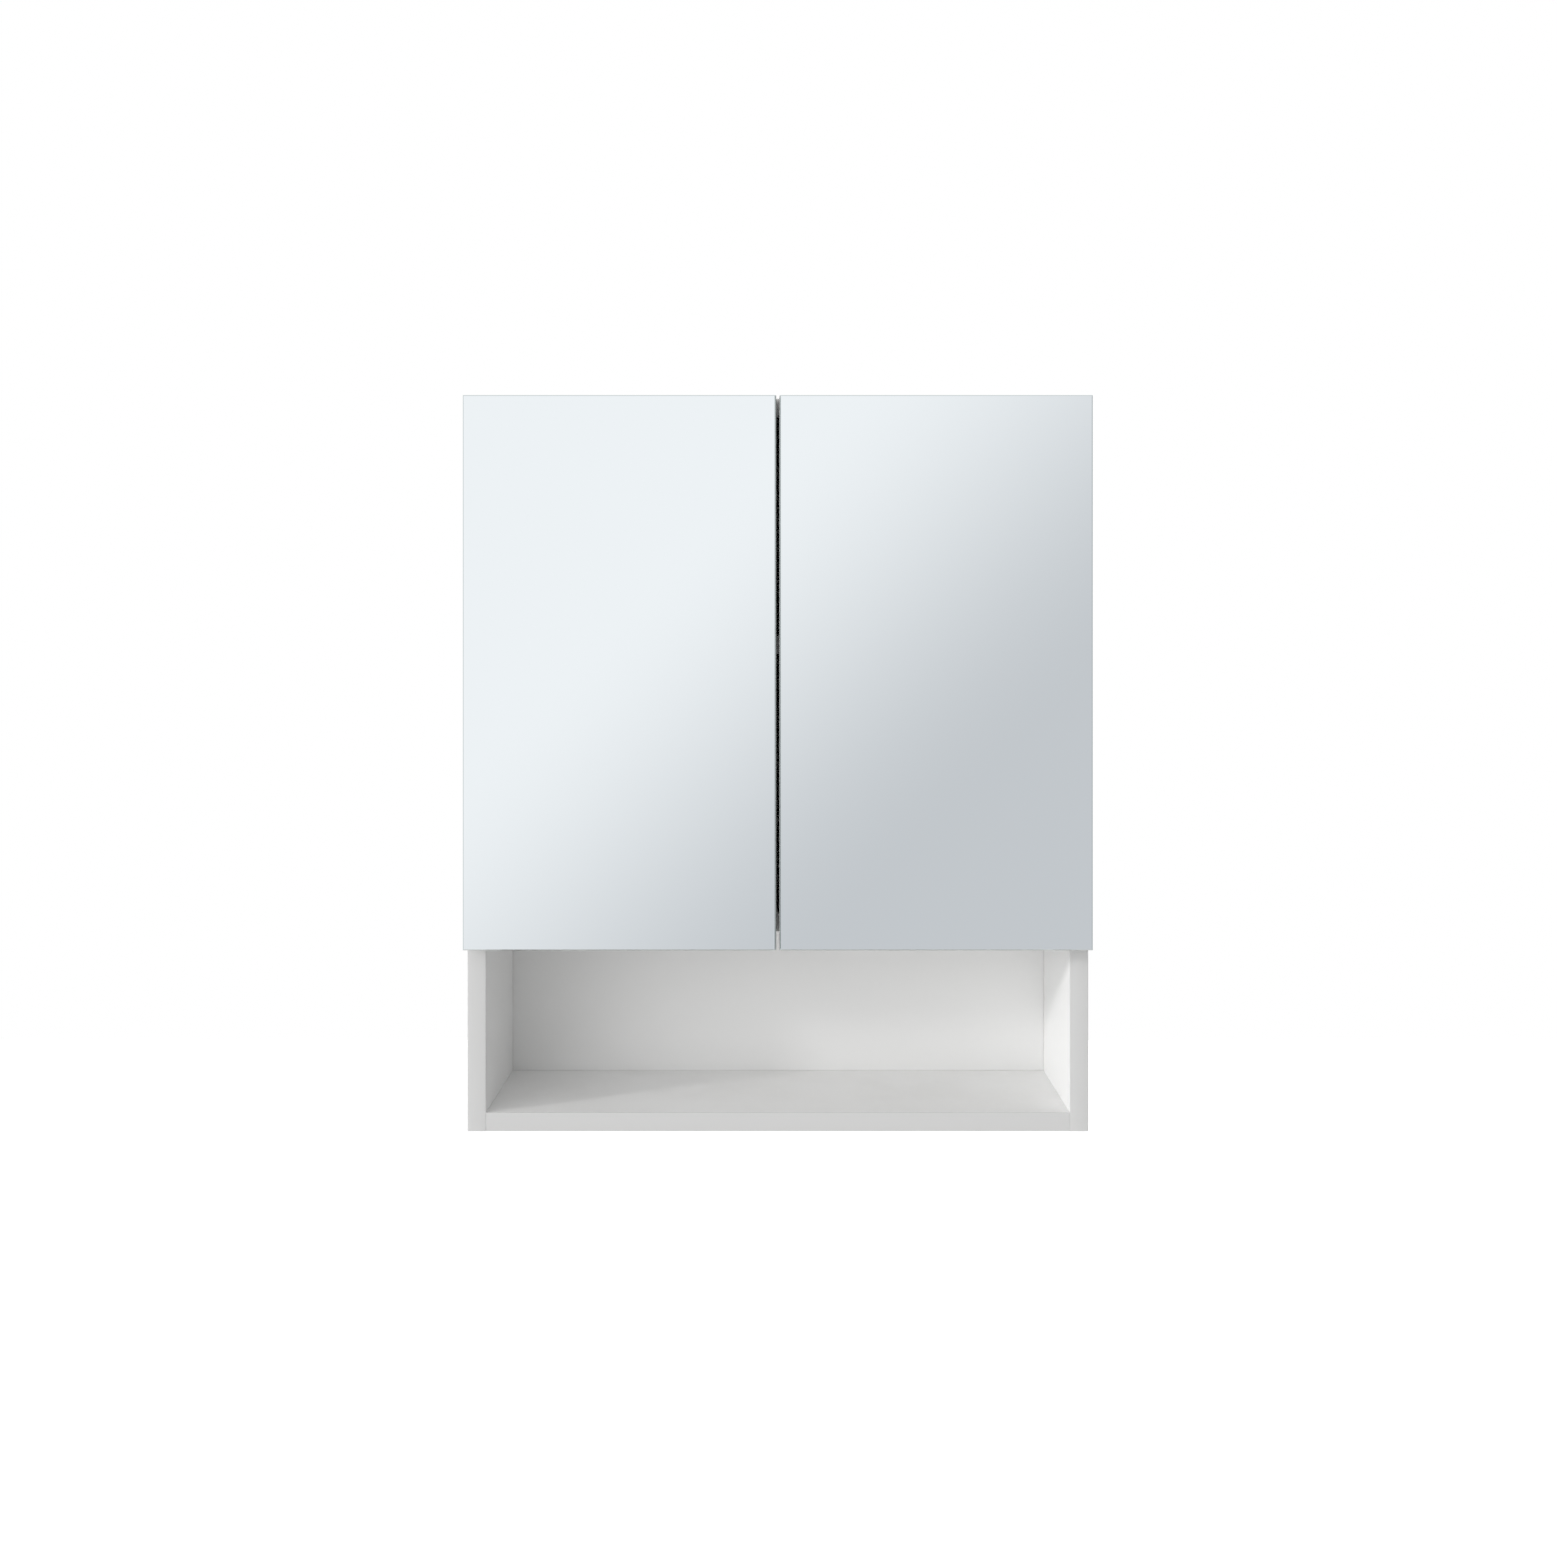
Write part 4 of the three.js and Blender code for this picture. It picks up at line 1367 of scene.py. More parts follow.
@dataclass
class Door:
    """A door: a white board core stripped on all four edges, and a mirror over its front."""

    side: str
    strip: float = STRIP
    strip_radius: float = 0.6 * MM
    edge: float = 0.3 * MM
    arris: float = 1.0 * MM
    cup_play: float = 0.2 * MM
    cup_radius: float = CUP_RADIUS
    cup_depth: float = 12.0 * MM
    flange: float = CUP_FLANGE

    def cup_bores(self) -> list[Shape]:
        """The bores that the two hinge cups sit in.

        Returns:
            The bores.
        """
        radius = self.cup_radius + self.cup_play
        bores = []
        for level in ("upper", "lower"):
            low, high = left_box(f"hinge_cup_{level}", self.side)
            mouth = high[1] - self.flange
            profile = [(0.0, -self.cup_depth), (radius, -self.cup_depth), (radius, MM), (0.0, MM)]
            place = ((low[0] + high[0]) / 2, mouth, (low[2] + high[2]) / 2)
            bores.append(turned(profile, place, Axis.Y, 64).mirrored(SIDES[self.side]))
        return bores

    def core(self) -> None:
        """Makes the core and the strip round its four edges."""
        node, body = f"door_panel_{self.side}", f"door_{self.side}"
        low, high = box_of(node)
        inset = np.array([self.strip, 0.0, self.strip])
        base = rounded_block(low + inset, high - inset, self.edge)
        mesh = shaped(node, base, [], self.cup_bores())
        finish_board(mesh, raw_rear=False)
        mark_edges(mesh, self.edge)
        finishes = [WHITE_FACE, CHIPBOARD]
        make_piece(f"{node}_board", mesh, body, finishes, [node])
        r, s = self.strip_radius, self.strip
        turn = np.linspace(0, math.pi / 2, 4)
        rear = [(s - r + r * math.sin(a), high[1] - r + r * math.cos(a)) for a in turn]
        front = [(s - r + r * math.cos(a), low[1] + r - r * math.sin(a)) for a in turn]
        profile = [(0.0, high[1]), *rear, *front, (0.0, low[1])]
        ring = round_the_edge((low + inset)[[0, 2]], (high - inset)[[0, 2]], profile)
        corners = table_faces(len(profile), 4, closed_rows=True)
        strip = mesh_of(f"{node}_strip", Shape(ring.reshape(-1, 3), [Faces(corners)]))
        # The edge strip's finish is darker than the board's, as painted shade.
        make_piece(f"{node}_edge_strip", strip, body, [STRIP_WITH_PAINTED_SHADE])

    def mirror(self) -> None:
        """Makes the mirror: silvered face, ground arris and edges, painted back."""
        node, body = f"mirror_{self.side}", f"door_{self.side}"
        low, high = box_of(node)
        profile = [(0.0, high[1]), (0.0, low[1] + self.arris), (-self.arris, low[1])]
        ring = round_the_edge(low[[0, 2]], high[[0, 2]], profile)
        corners = table_faces(3, 4)
        faces = [
            Faces(np.array([[8, 9, 10, 11]]), 0),
            Faces(corners[4:], 1),
            Faces(corners[:4], 2),
            Faces(np.array([[3, 2, 1, 0]]), 3),
        ]
        mesh = mesh_of(node, Shape(ring.reshape(-1, 3), faces))
        finishes = [SILVER, POLISHED_ARRIS, GROUND_GLASS, MIRROR_BACK]
        make_piece(f"{node}_glass", mesh, body, finishes, [node])

    def build(self) -> None:
        """Makes the door."""
        self.core()
        self.mirror()


# ---- hangers ----


@dataclass
class Hanger:
    """A hanger: plastic housing, steel hook, its height screw and the plate on the wall."""

    side: str
    plate_length: float = 32.0 * MM
    bar: float = 7.0 * MM
    tongue: float = 11.0 * MM
    tongue_thick: float = 2.6 * MM
    metal: float = 2.5 * MM
    stand_off: float = 5.0 * MM
    lip: float = 16.0 * MM
    hole: float = 3.0 * MM
    wall: float = 2.0 * MM
    screw_radius: float = 4.0 * MM
    screw_head: float = 2.0 * MM
    ridge: float = 0.5 * MM
    crest: float = 2.5 * MM
    root: float = 2.1 * MM
    hook_play: float = 0.3 * MM
    screw_hole: float = 2.8 * MM
    line_rises: tuple[float, float] = (9.0 * MM, 34.0 * MM)
    line_deep: float = 0.5 * MM
    line_wide: float = 0.8 * MM

    def housing(self) -> None:
        """Makes the housing, open behind, with a round hole for the height screw."""
        node, sign = "hanger_housing", SIDES[self.side]
        low, high = left_box(node, self.side)
        hook_low, hook_high = left_box("hanger_hook", self.side)
        guide = rounded_block(
            (hook_low[0] - self.hook_play, low[1] + self.wall, low[2] + self.wall),
            (hook_high[0] + self.hook_play, high[1] + MM, high[2] - self.wall),
            0.1 * MM,
            1,
        )
        screw_low, screw_high = left_box("hanger_adjuster", self.side)
        x, z = (screw_low[0] + screw_high[0]) / 2, (screw_low[2] + screw_high[2]) / 2
        radius, deep = self.screw_hole, 20 * MM
        hole = [(0.0, -MM), (radius, -MM), (radius, deep), (0.0, deep)]
        bore = turned(hole, (x, low[1], z), Axis.Y, 32)
        base = rounded_block(low, high, 1.2 * MM)
        lines = []
        for rise in self.line_rises:
            start = (low[0] - MM, low[1] - MM, z + rise)
            end = (high[0] + MM, low[1] + self.line_deep, z + rise + self.line_wide)
            lines.append(rounded_block(start, end, 0.05 * MM, 1))
        taken = [shape.mirrored(sign) for shape in (guide, bore, *lines)]
        mesh = shaped(node, base.mirrored(sign), [], taken)
        name, finishes = f"{node}_{self.side}", [WHITE_PLASTIC]
        make_piece(f"{name}_shell", mesh, "carcass", finishes, [name])

    def hook(self) -> None:
        """Makes the hook: a flat plate with a bar and a tongue that hooks over the wall plate."""
        low, high = left_box("hanger_hook", self.side)
        front, rear = low[1], low[1] + self.plate_length
        tongue_front, tongue_rear = high[1] - self.tongue_thick, high[1]
        top, bar_low = high[2], high[2] - self.bar
        corners = [
            (front, low[2]),
            (rear, low[2]),
            (rear, bar_low),
            (tongue_front, bar_low),
            (tongue_front, -self.tongue),
            (tongue_rear, -self.tongue),
            (tongue_rear, top),
            (front, top),
        ]
        radii = [1.5 * MM, 1.5 * MM, 0.6 * MM, 0.6 * MM, 0.8 * MM, 0.8 * MM, 1.5 * MM, 1.5 * MM]
        outline = rounded_outline(corners, radii)
        shape = carried(outline, low[0], high[0], Axis.X).mirrored(SIDES[self.side])
        node, body = f"hanger_hook_{self.side}", f"hanger_{self.side}"
        mesh = mesh_of(node, shape)
        make_piece(f"{node}_steel", mesh, body, [GALVANISED], [node], 0.25 * MM)

    def plate(self) -> None:
        """Makes the wall plate, a strip of sheet steel stepped off the wall, with two holes."""
        low, high = left_box("wall_plate", self.side)
        step_top = -self.lip
        step_low = step_top - self.stand_off
        corners = [
            (0.0, low[2]),
            (0.0, step_low),
            (-self.stand_off, step_top),
            (-self.stand_off, high[2]),
            (-self.stand_off - self.metal, high[2]),
            (-self.stand_off - self.metal, step_top - MM),
            (-self.metal, step_low - MM),
            (-self.metal, low[2]),
        ]
        radii = [0.4 * MM, 1.2 * MM, 3.0 * MM, 0.4 * MM, 0.4 * MM, 1.2 * MM, 3.0 * MM, 0.4 * MM]
        base = carried(rounded_outline(corners, radii), low[0], high[0], Axis.X)
        middle, quarter = (low[0] + high[0]) / 2, (high[0] - low[0]) / 4
        hole = [(0.0, -8 * MM), (self.hole, -8 * MM), (self.hole, MM), (0.0, MM)]
        level = (low[2] + step_low) / 2
        holes = [turned(hole, (middle + way * quarter, 0.0, level), Axis.Y, 32) for way in (-1, 1)]
        sign, node = SIDES[self.side], f"wall_plate_{self.side}"
        mesh = shaped(node, base.mirrored(sign), [], [shape.mirrored(sign) for shape in holes])
        make_piece(f"{node}_steel", mesh, f"hanger_{self.side}", [GALVANISED], [node], 0.3 * MM)

    def adjuster(self) -> None:
        """Makes the height screw: a head with a crossed recess on a threaded shank."""
        node = f"hanger_adjuster_{self.side}"
        low, high = box_of(node)
        x, z = (low[0] + high[0]) / 2, (low[2] + high[2]) / 2
        seat = low[1] + self.screw_head
        screw = Screw(self.screw_radius, self.screw_head, slot=0.9 * MM)
        mesh = screw.mesh(node, (x, seat, z), Axis.Y, -1)
        make_piece(f"{node}_head", mesh, "carcass", [ZINC], [node])
        ridge = np.arange(seat, high[1] - self.ridge, self.ridge)
        ridges = [(self.crest if i % 2 else self.root, float(y)) for i, y in enumerate(ridge)]
        profile = [(0.0, float(ridge[0])), *ridges, (1.8 * MM, high[1]), (0.0, high[1])]
        shank = mesh_of(node, turned(profile, (x, 0.0, z), Axis.Y, 24))
        make_piece(f"{node}_shank", shank, "carcass", [ZINC])

    def build(self) -> None:
        """Makes the hanger."""
        self.housing()
        self.hook()
        self.plate()
        self.adjuster()


# ---- hinges ----


def link_outline(
    start: tuple[float, float], end: tuple[float, float], near: float, far: float
) -> np.ndarray:
    """The outline of a link: two round ends joined by the lines that touch both.

    Each end is an arc of its own radius. With span the distance between the two pins, the lines
    touch the arcs at acos((near - far) / span) from the line between the pins.

    Args:
        start: the first pin.
        end: the second pin.
        near: the radius round the first.
        far: the radius round the second.

    Returns:
        The outline's points, anticlockwise.
    """
    run = np.array(end) - np.array(start)
    along = math.atan2(run[1], run[0])
    lean = math.acos((near - far) / float(np.hypot(*run)))
    tip = np.linspace(along - lean, along + lean, 17)
    root = np.linspace(along + lean, along - lean + 2 * math.pi, 17)
    arcs = []
    for pin, radius, angle in ((end, far, tip), (start, near, root)):
        arcs.append(np.array(pin) + radius * np.stack([np.cos(angle), np.sin(angle)], 1))
    return np.concatenate(arcs)


def pin_between(place: tuple[float, float], low: float, high: float, radius: float) -> Shape:
    """A riveted pin along Z: a round bar whose two ends are slightly domed.

    Args:
        place: its x and y.
        low: its low end.
        high: its high end.
        radius: its radius.

    Returns:
        The pin.
    """
    dome = 0.25 * radius
    ends = [(0.0, low), (0.6 * radius, low + 0.2 * dome), (radius, low + dome)]
    profile = ends + [(radius, high - dome), (0.6 * radius, high - 0.2 * dome), (0.0, high)]
    return turned(profile, (*place, 0.0), Axis.Z, 24)


@dataclass
class Hinge:
    """One cup hinge: plate, arm, two links, cup and screws.

    Pieces are shaped in the hinge's own place, x inwards from the side panel's inner face and
    y backwards from the carcass's front, then carried to the hinge and mirrored for its side.
    """

    side: str
    level: str
    cup_radius: float = CUP_RADIUS
    cup_depth: float = 11.5 * MM
    cup_wall: float = 1.0 * MM
    cup_floor: float = 0.8 * MM
    cup_bend: float = 1.4 * MM
    flange_reach: float = 2.5 * MM
    flange: float = CUP_FLANGE
    ear: float = 5.0 * MM
    ear_offset: float = 5.5 * MM
    ear_span: float = 48.0 * MM
    cup_at: tuple[float, float] = (4.5 * MM, -2.0 * MM)
    outer_pin: tuple[float, float] = (16.4 * MM, -1.4 * MM)
    elbow: tuple[float, float] = (2.6 * MM, -6.2 * MM)
    cup_pin: tuple[float, float] = (-6.2 * MM, -4.2 * MM)
    inner_pin: tuple[float, float] = (14.8 * MM, -9.8 * MM)
    inner_tip: tuple[float, float] = (-7.5 * MM, -10.0 * MM)
    pin: float = 1.2 * MM
    pin_play: float = 0.2 * MM
    link_edge: float = 2.1 * MM
    web_shares: tuple[float, float] = (0.2, 0.5)
    web_sides: tuple[float, float] = (-2.1 * MM, -0.9 * MM)
    inner_root: float = 2.0 * MM
    inner_end: float = 1.4 * MM
    outer_inside: float = 3.1 * MM
    outer_half: float = 4.6 * MM
    inner_half: float = 2.6 * MM
    arm_inside: float = 5.0 * MM
    arm_half: float = 6.4 * MM
    arm_web: float = 12.0 * MM
    arm_metal: float = 1.4 * MM
    arm_front: float = 4.0 * MM
    arm_rear: float = 64.0 * MM
    cheek_foot: float = 2.3 * MM
    cheek_margin: float = 0.2 * MM
    arm_slot: tuple[float, float] = (-7.0 * MM, 2.0 * MM)
    arm_slot_half: float = 2.6 * MM
    arm_screw: float = 12.0 * MM
    side_screw: float = 13.0 * MM
    screw_sunk: float = 1.2 * MM
    plate_thick: float = 2.0 * MM
    plate_half: float = 22.0 * MM
    wing: float = 8.5 * MM
    row: float = 37.0 * MM
    rib_half: float = 4.2 * MM
    rib_front: float = 20.0 * MM
    rib_rear: float = 62.0 * MM
    rib_play: float = 0.3 * MM
    screw_pitch: float = 32.0 * MM
    seat: np.ndarray = field(init=False)

    def __post_init__(self) -> None:
        """Finds the hinge's place from the side panel and from the plate."""
        panel = left_box("side_panel", self.side)
        low, high = left_box(f"hinge_plate_{self.level}", self.side)
        self.seat = np.array([panel[1][0], panel[0][1], (low[2] + high[2]) / 2])

    def set_in(self, shape: Shape) -> Shape:
        """Carries a shape to the hinge's place and side."""
        return shape.moved(*self.seat).mirrored(SIDES[self.side])

    def piece(
        self,
        part: str,
        base: Shape,
        added: list[Shape],
        taken: list[Shape],
        body: str,
        bevel: float,
    ) -> None:
        """Makes one piece of the hinge, which replaces the solid of the same name.

        Args:
            part: plate, arm, outer_link, inner_link or cup.
            base: the shape to start from.
            added: shapes to unite with it.
            taken: shapes to cut out of it.
            body: the body that it moves with.
            bevel: width of the edges' bevel.
        """
        node = f"hinge_{part}_{self.level}_{self.side}"
        united = [self.set_in(shape) for shape in added]
        cut = [self.set_in(shape) for shape in taken]
        mesh = shaped(node, self.set_in(base), united, cut)
        make_piece(f"{node}_steel", mesh, body, [NICKEL], [node], bevel)

    def screw(
        self, name: str, place: tuple[float, float, float], axis: Axis, body: str, screw: Screw
    ) -> None:
        """Makes one screw head of the hinge.

        Args:
            name: what it holds.
            place: the middle of its seat, in the hinge's own place.
            axis: its axis, which its head looks up in the hinge's own place.
            body: the body that it moves with.
            screw: its size.
        """
        sign = SIDES[self.side]
        middle = (np.array(place) + self.seat) * np.array([sign, 1.0, 1.0])
        looks = sign if axis is Axis.X else 1.0
        label = f"hinge_screw_{name}_{self.level}_{self.side}"
        mesh = screw.mesh(label, tuple(middle), axis, looks)
        make_piece(label, mesh, body, [SCREW_ZINC])

    def plate(self) -> None:
        """Makes the mounting plate: two round wings on the side panel and a rib under the arm."""
        front, rear, half = self.row - self.wing, self.row + self.wing, self.plate_half
        corners = [(front, -half), (rear, -half), (rear, half), (front, half)]
        outline = rounded_outline(corners, [0.98 * self.wing] * 4, 10)
        wings = carried(outline, 0.0, self.plate_thick, Axis.X)
        crown = self.arm_web - self.rib_play
        corners = [
            (0.0, self.rib_front),
            (crown, self.rib_front + 1.5 * MM),
            (crown, self.rib_rear - 1.0 * MM),
            (0.0, self.rib_rear),
        ]
        rib = carried(rounded_outline(corners, [1 * MM] * 4), -self.rib_half, self.rib_half, Axis.Z)
        self.piece("plate", wings, [rib], [], "carcass", 0.3 * MM)
        screw = Screw(3.4 * MM, 1.8 * MM, slot=0.7 * MM)
        for i, way in enumerate((-1, 1)):
            place = (self.plate_thick, self.row, way * self.screw_pitch / 2)
            self.screw(f"plate_{i + 1}", place, Axis.X, "carcass", screw)

    def arm(self) -> None:
        """Makes the arm: a channel whose two cheeks reach into the cup and hold the link pins."""
        edge, web_outer = self.link_edge + self.cheek_margin, self.arm_web + self.arm_metal
        (outer_x, outer_y), (inner_x, inner_y) = self.outer_pin, self.inner_pin
        corners = [
            (self.cheek_foot, self.arm_rear),
            (self.cheek_foot, self.arm_front + 2 * MM),
            (inner_x - edge, outer_y - 1 * MM),
            (inner_x - edge, inner_y - edge),
            (inner_x + edge, inner_y - edge),
            (outer_x + edge, outer_y),
            (web_outer, self.arm_front + 6 * MM),
            (web_outer, self.arm_rear),
        ]
        radii = [0.8 * MM, 3 * MM, 2 * MM, 0.99 * edge, 0.99 * edge, 3 * MM, 4 * MM, 0.8 * MM]
        cheek = rounded_outline(corners, radii, 8)
        spans = ((-self.arm_half, -self.arm_inside), (self.arm_inside, self.arm_half))
        cheeks = [carried(cheek, *span, Axis.Z) for span in spans]
        web = rounded_block(
            (self.arm_web, self.arm_front + 1 * MM, -self.arm_half),
            (web_outer, self.arm_rear, self.arm_half),
            0.02 * MM,
            1,
        )
        places = (self.outer_pin, self.inner_pin)
        pins = [pin_between(place, -self.arm_half, self.arm_half, self.pin) for place in places]
        front, rear = (self.row + reach for reach in self.arm_slot)
        half = self.arm_slot_half
        corners = [(front, -half), (rear, -half), (rear, half), (front, half)]
        outline = rounded_outline(corners, [2.5 * MM] * 4)
        slot = carried(outline, self.arm_web - MM, web_outer + MM, Axis.X)
        self.piece("arm", cheeks[0], [cheeks[1], web, *pins], [slot], "carcass", 0.3 * MM)
        seat = web_outer - self.screw_sunk
        place = (seat, self.row + self.arm_screw, 0.0)
        self.screw("arm", place, Axis.X, "carcass", Screw(3.8 * MM, 2.4 * MM, slot=0.8 * MM))
        place = (seat, self.arm_front + self.side_screw, 0.0)
        screw = Screw(2.6 * MM, 1.8 * MM, slot=0.6 * MM)
        self.screw("side_setting", place, Axis.X, "carcass", screw)

    def links(self) -> None:
        """Makes the outer link, two cheeks with an elbow and a web, and the flat inner link."""
        root = link_outline(self.outer_pin, self.elbow, self.link_edge, self.link_edge)
        reach = link_outline(self.elbow, self.cup_pin, self.link_edge, self.link_edge)
        spans = ((-self.outer_half, -self.outer_inside), (self.outer_inside, self.outer_half))
        cheeks = [carried(outline, *span, Axis.Z) for outline in (root, reach) for span in spans]
        start = np.array(self.outer_pin)
        run = np.array(self.elbow) - start
        length = float(np.hypot(*run))
        along = run / length
        beside = np.array([-along[1], along[0]])
        (near, far), (low, high) = self.web_shares, self.web_sides
        places = ((near, low), (far, low), (far, high), (near, high))
        corners = [start + along * length * share + beside * offset for share, offset in places]
        web = carried(np.array(corners), -self.outer_half, self.outer_half, Axis.Z)
        radius, pins = self.pin + self.pin_play, (self.outer_pin, self.cup_pin)
        bores = [pin_between(pin, -6 * MM, 6 * MM, radius) for pin in pins]
        body = f"outer_links_{self.side}"
        self.piece("outer_link", cheeks[0], [*cheeks[1:], web], bores, body, 0.2 * MM)
        outline = link_outline(self.inner_pin, self.inner_tip, self.inner_root, self.inner_end)
        bar = carried(outline, -self.inner_half, self.inner_half, Axis.Z)
        bore = pin_between(self.inner_pin, -4 * MM, 4 * MM, radius)
        self.piece("inner_link", bar, [], [bore], f"inner_links_{self.side}", 0.25 * MM)

    def cup(self) -> None:
        """Makes the cup: a turned bowl with a rolled rim, a flange with two ears, and two pins."""
        x, mouth = self.cup_at
        outer, inner = self.cup_radius, self.cup_radius - self.cup_wall
        floor, bend = self.cup_floor - self.cup_depth, self.cup_bend
        turn = np.linspace(0, math.pi / 2, 6)
        low = -self.cup_depth
        outside = [(outer - bend + bend * math.sin(a), low + bend - bend * math.cos(a)) for a in turn]
        inside = [(inner - bend + bend * math.cos(a), floor + bend - bend * math.sin(a)) for a in turn]
        rim = [
            (outer, self.flange * 0.4),
            (inner + 0.4 * MM, self.flange * 0.9),
            (inner, self.flange * 0.5),
        ]
        profile = [(0.0, low), *outside, *rim, *inside, (0.0, floor)]
        bowl = turned(profile, (x, mouth, 0.0), Axis.Y, 64)
        edge = outer + self.flange_reach
        disc = [
            (0.0, 0.0),
            (edge - 0.3 * MM, 0.0),
            (edge, 0.3 * MM),
            (edge, self.flange - 0.4 * MM),
            (edge - 0.4 * MM, self.flange),
            (0.0, self.flange),
        ]
        flange = turned(disc, (x, mouth, 0.0), Axis.Y, 64)
        middle, half = x + self.ear_offset, self.ear_span / 2 + self.ear
        # Axis Y's cross directions are Z and X, so the outline's points are (z, x).
        near, far = middle - self.ear, middle + self.ear
        corners = [(-half, near), (half, near), (half, far), (-half, far)]
        outline = rounded_outline(corners, [0.98 * self.ear] * 4, 10)
        ears = carried(outline, mouth, mouth + self.flange, Axis.Y)
        radius = inner + 0.1 * MM
        well = [(0.0, -1 * MM), (radius, -1 * MM), (radius, 4 * MM), (0.0, 4 * MM)]
        opening = turned(well, (x, mouth, 0.0), Axis.Y, 64)
        body = f"door_{self.side}"
        node = f"hinge_cup_{self.level}_{self.side}"
        name, cut = f"{node}_flange", [self.set_in(opening)]
        plate = shaped(name, self.set_in(ears), [self.set_in(flange)], cut)
        make_piece(name, plate, body, [NICKEL], [node], 0.25 * MM)
        reach = math.sqrt(inner**2 - (x - self.cup_pin[0]) ** 2) + self.cup_wall / 2
        start = self.inner_half + 0.3 * MM
        spans = ((-reach, -start), (start, reach))
        pins = [pin_between(self.cup_pin, *span, self.pin) for span in spans]
        mesh = mesh_of(f"{node}_bowl", self.set_in(together(bowl, *pins)))
        make_piece(f"{node}_bowl", mesh, body, [NICKEL])
        screw = Screw(3.1 * MM, 0.7 * MM, slot=0.6 * MM)
        for i, way in enumerate((-1, 1)):
            place = (middle, mouth + self.flange, way * self.ear_span / 2)
            self.screw(f"cup_{i + 1}", place, Axis.Y, body, screw)

    def build(self) -> None:
        """Makes the hinge's pieces and its screws."""
        self.plate()
        self.arm()
        self.links()
        self.cup()


# ---- studio ----


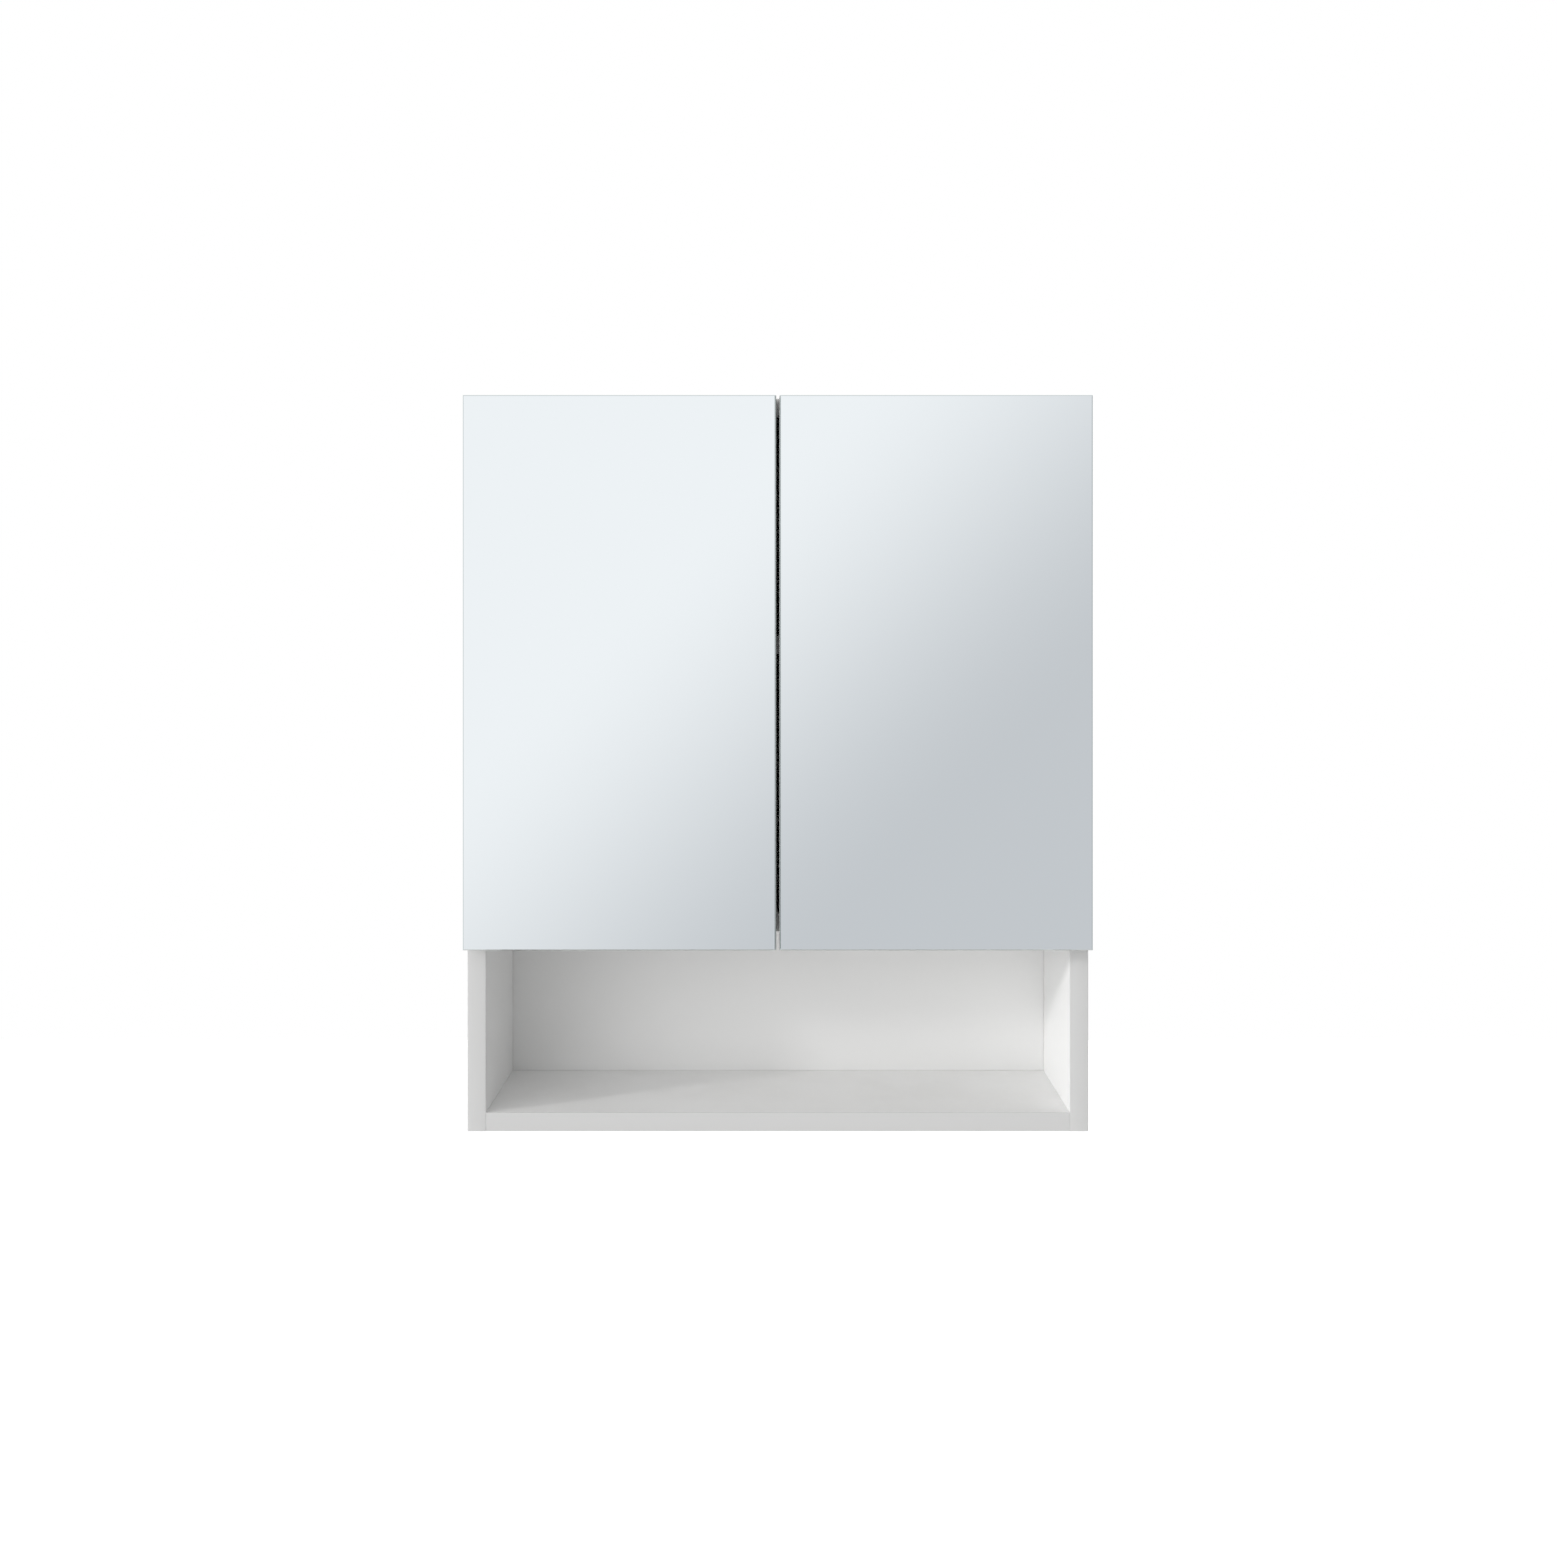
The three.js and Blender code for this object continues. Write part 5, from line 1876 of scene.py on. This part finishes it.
@dataclass
class Studio:
    """The camera, the key light, the pale surroundings and the floor."""

    eye: tuple[float, float, float] = (0.005, -1.476, -0.203)
    lens: float = 31.68
    shift: tuple[float, float] = (-0.0029, -0.079)
    key_travel: tuple[float, float, float] = (2.32, 1.0, -0.75)
    key_strength: float = 0.72
    key_angle: float = 5.0
    base: float = 0.3
    behind: float = 0.4
    side_towards: tuple[float, float, float] = (-1.0, -0.68, 0.06)
    side_strength: float = 2.05
    side_power: float = 5.0
    front_towards: tuple[float, float, float] = (0.0, -1.0, 0.6)
    front_strength: float = 0.62
    front_power: float = 6.0
    dim_from: float = -0.147
    dim_to: float = 0.247
    floor_below: float = 1.1
    floor_reach: float = 4.0
    floor_white: float = 0.8
    floor_glow: float = 0.55
    floor_in_gloss: float = 0.25
    bright: Colour = (0.921, 0.95, 0.982)
    dim: Colour = (0.586, 0.611, 0.645)

    def camera(self) -> None:
        """Sets up a level camera that looks along +Y."""
        data = bpy.data.cameras.new("camera")
        data.lens, data.shift_x, data.shift_y = self.lens, *self.shift
        data.clip_start, data.clip_end = 0.02, 60.0
        camera = bpy.data.objects.new("camera", data)
        camera.location = self.eye
        camera.rotation_euler = (math.pi / 2, 0.0, 0.0)
        bpy.context.scene.collection.objects.link(camera)
        bpy.context.scene.camera = camera

    def key(self) -> None:
        """Sets up the key light, high on the left in front."""
        data = bpy.data.lights.new("key", "SUN")
        data.energy, data.angle = self.key_strength, math.radians(self.key_angle)
        data.color = (1.0, 0.995, 0.985)
        lamp = bpy.data.objects.new("key", data)
        lamp.rotation_euler = Vector(self.key_travel).to_track_quat("-Z", "Y").to_euler()
        bpy.context.scene.collection.objects.link(lamp)

    def pool(
        self, tree: Tree, direction: Value, towards: tuple[float, float, float], power: float
    ) -> Any:
        """A broad soft light: the cosine of the angle to its middle, raised to a power.

        Args:
            tree: the surroundings' tree.
            direction: the ray's direction.
            towards: the middle of the light, as seen from the cabinet.
            power: how fast it falls off.

        Returns:
            Its brightness.
        """
        middle = tuple(Vector(towards).normalized())
        cosine = tree.add("ShaderNodeVectorMath", {0: direction, 1: middle}, operation="DOT_PRODUCT")
        return tree.sum("POWER", tree.sum("MAXIMUM", cosine.outputs["Value"], 0.0), power)

    def world(self) -> None:
        """Sets up the surroundings.

        To look at, they are white. As a light, they are a grey base, lighter behind, with a broad
        light on the left and a weaker one high in front. For gloss, they are a soft wall, bright
        up on the left and dimmer down on the right. Its share of dim goes smoothly from nought
        to one as x - z of the ray's direction goes from dim_from to dim_to.
        """
        world = bpy.data.worlds.new("surroundings")
        world.use_nodes = True
        bpy.context.scene.world = world
        tree = Tree(world.node_tree)
        background = tree.tree.nodes["Background"]
        direction = tree.add("ShaderNodeTexCoord").outputs["Generated"]
        parts = tree.add("ShaderNodeSeparateXYZ", {0: direction}).outputs
        slope = tree.sum("SUBTRACT", parts[0], parts[2])
        share = tree.spread(slope, self.dim_from, self.dim_to, 0.0, 1.0)
        wall = tree.blend(share, opaque(self.bright), opaque(self.dim))
        light = tree.add("ShaderNodeLightPath").outputs
        side = self.pool(tree, direction, self.side_towards, self.side_power)
        front = self.pool(tree, direction, self.front_towards, self.front_power)
        fill = tree.sum("ADD", tree.spread(parts[1], 0.0, 0.4, 0.0, self.behind), self.base)
        lit = tree.sum("MULTIPLY_ADD", front, self.front_strength, fill)
        lit = tree.sum("MULTIPLY_ADD", side, self.side_strength, lit)
        grey = tree.add("ShaderNodeCombineColor", {0: lit, 1: lit, 2: lit}).outputs[0]
        glossy = tree.blend(light["Is Glossy Ray"], grey, wall)
        seen = tree.sum("MAXIMUM", light["Is Camera Ray"], light["Is Transmission Ray"])
        tree.put(background.inputs["Color"], tree.blend(seen, glossy, (1.0, 1.0, 1.0, 1.0)))
        background.inputs["Strength"].default_value = 1.0

    def floor(self) -> None:
        """Lays a plain pale floor that looks white and keeps the cabinet's shadow."""
        level, reach = CAD_BOX[0][2] - self.floor_below, self.floor_reach
        signs = ((-1, -1), (1, -1), (1, 1), (-1, 1))
        points = np.array([(x * reach, y * reach, level) for x, y in signs])
        mesh = mesh_of("floor", Shape(points, [Faces(np.array([[0, 1, 2, 3]]))]))
        material = bpy.data.materials.new("Pale floor")
        material.use_nodes = True
        tree = Tree(material.node_tree)
        tree.tree.nodes.remove(tree.tree.nodes["Principled BSDF"])
        light = tree.add("ShaderNodeLightPath").outputs
        seen = tree.sum("MAXIMUM", light["Is Camera Ray"], light["Is Transmission Ray"])
        strength = tree.sum("MULTIPLY", seen, self.floor_glow)
        strength = tree.sum("MULTIPLY_ADD", light["Is Glossy Ray"], self.floor_in_gloss, strength)
        glow = tree.add("ShaderNodeEmission", {"Strength": strength})
        matt = tree.add("ShaderNodeBsdfDiffuse", {"Color": opaque((self.floor_white,) * 3)})
        both = tree.add("ShaderNodeAddShader", {0: matt.outputs[0], 1: glow.outputs[0]})
        output = tree.tree.nodes["Material Output"]
        tree.put(output.inputs["Surface"], both.outputs[0])
        mesh.materials.append(material)
        floor = bpy.data.objects.new("floor", mesh)
        bpy.context.scene.collection.objects.link(floor)

    def build(self) -> None:
        """Sets up the whole studio."""
        bpy.context.scene.view_settings.view_transform = "Standard"
        self.camera()
        self.key()
        self.world()
        self.floor()


def main() -> None:
    """Builds the studio and the cabinet, piece by piece."""
    logging.basicConfig(level=logging.INFO, format="%(name)s: %(message)s")
    Studio().build()
    Carcass().build()
    Fittings().build()
    for side in SIDES:
        Door(side).build()
        Hanger(side).build()
        for level in ("upper", "lower"):
            Hinge(side, level).build()


if __name__ == "__main__":
    main()
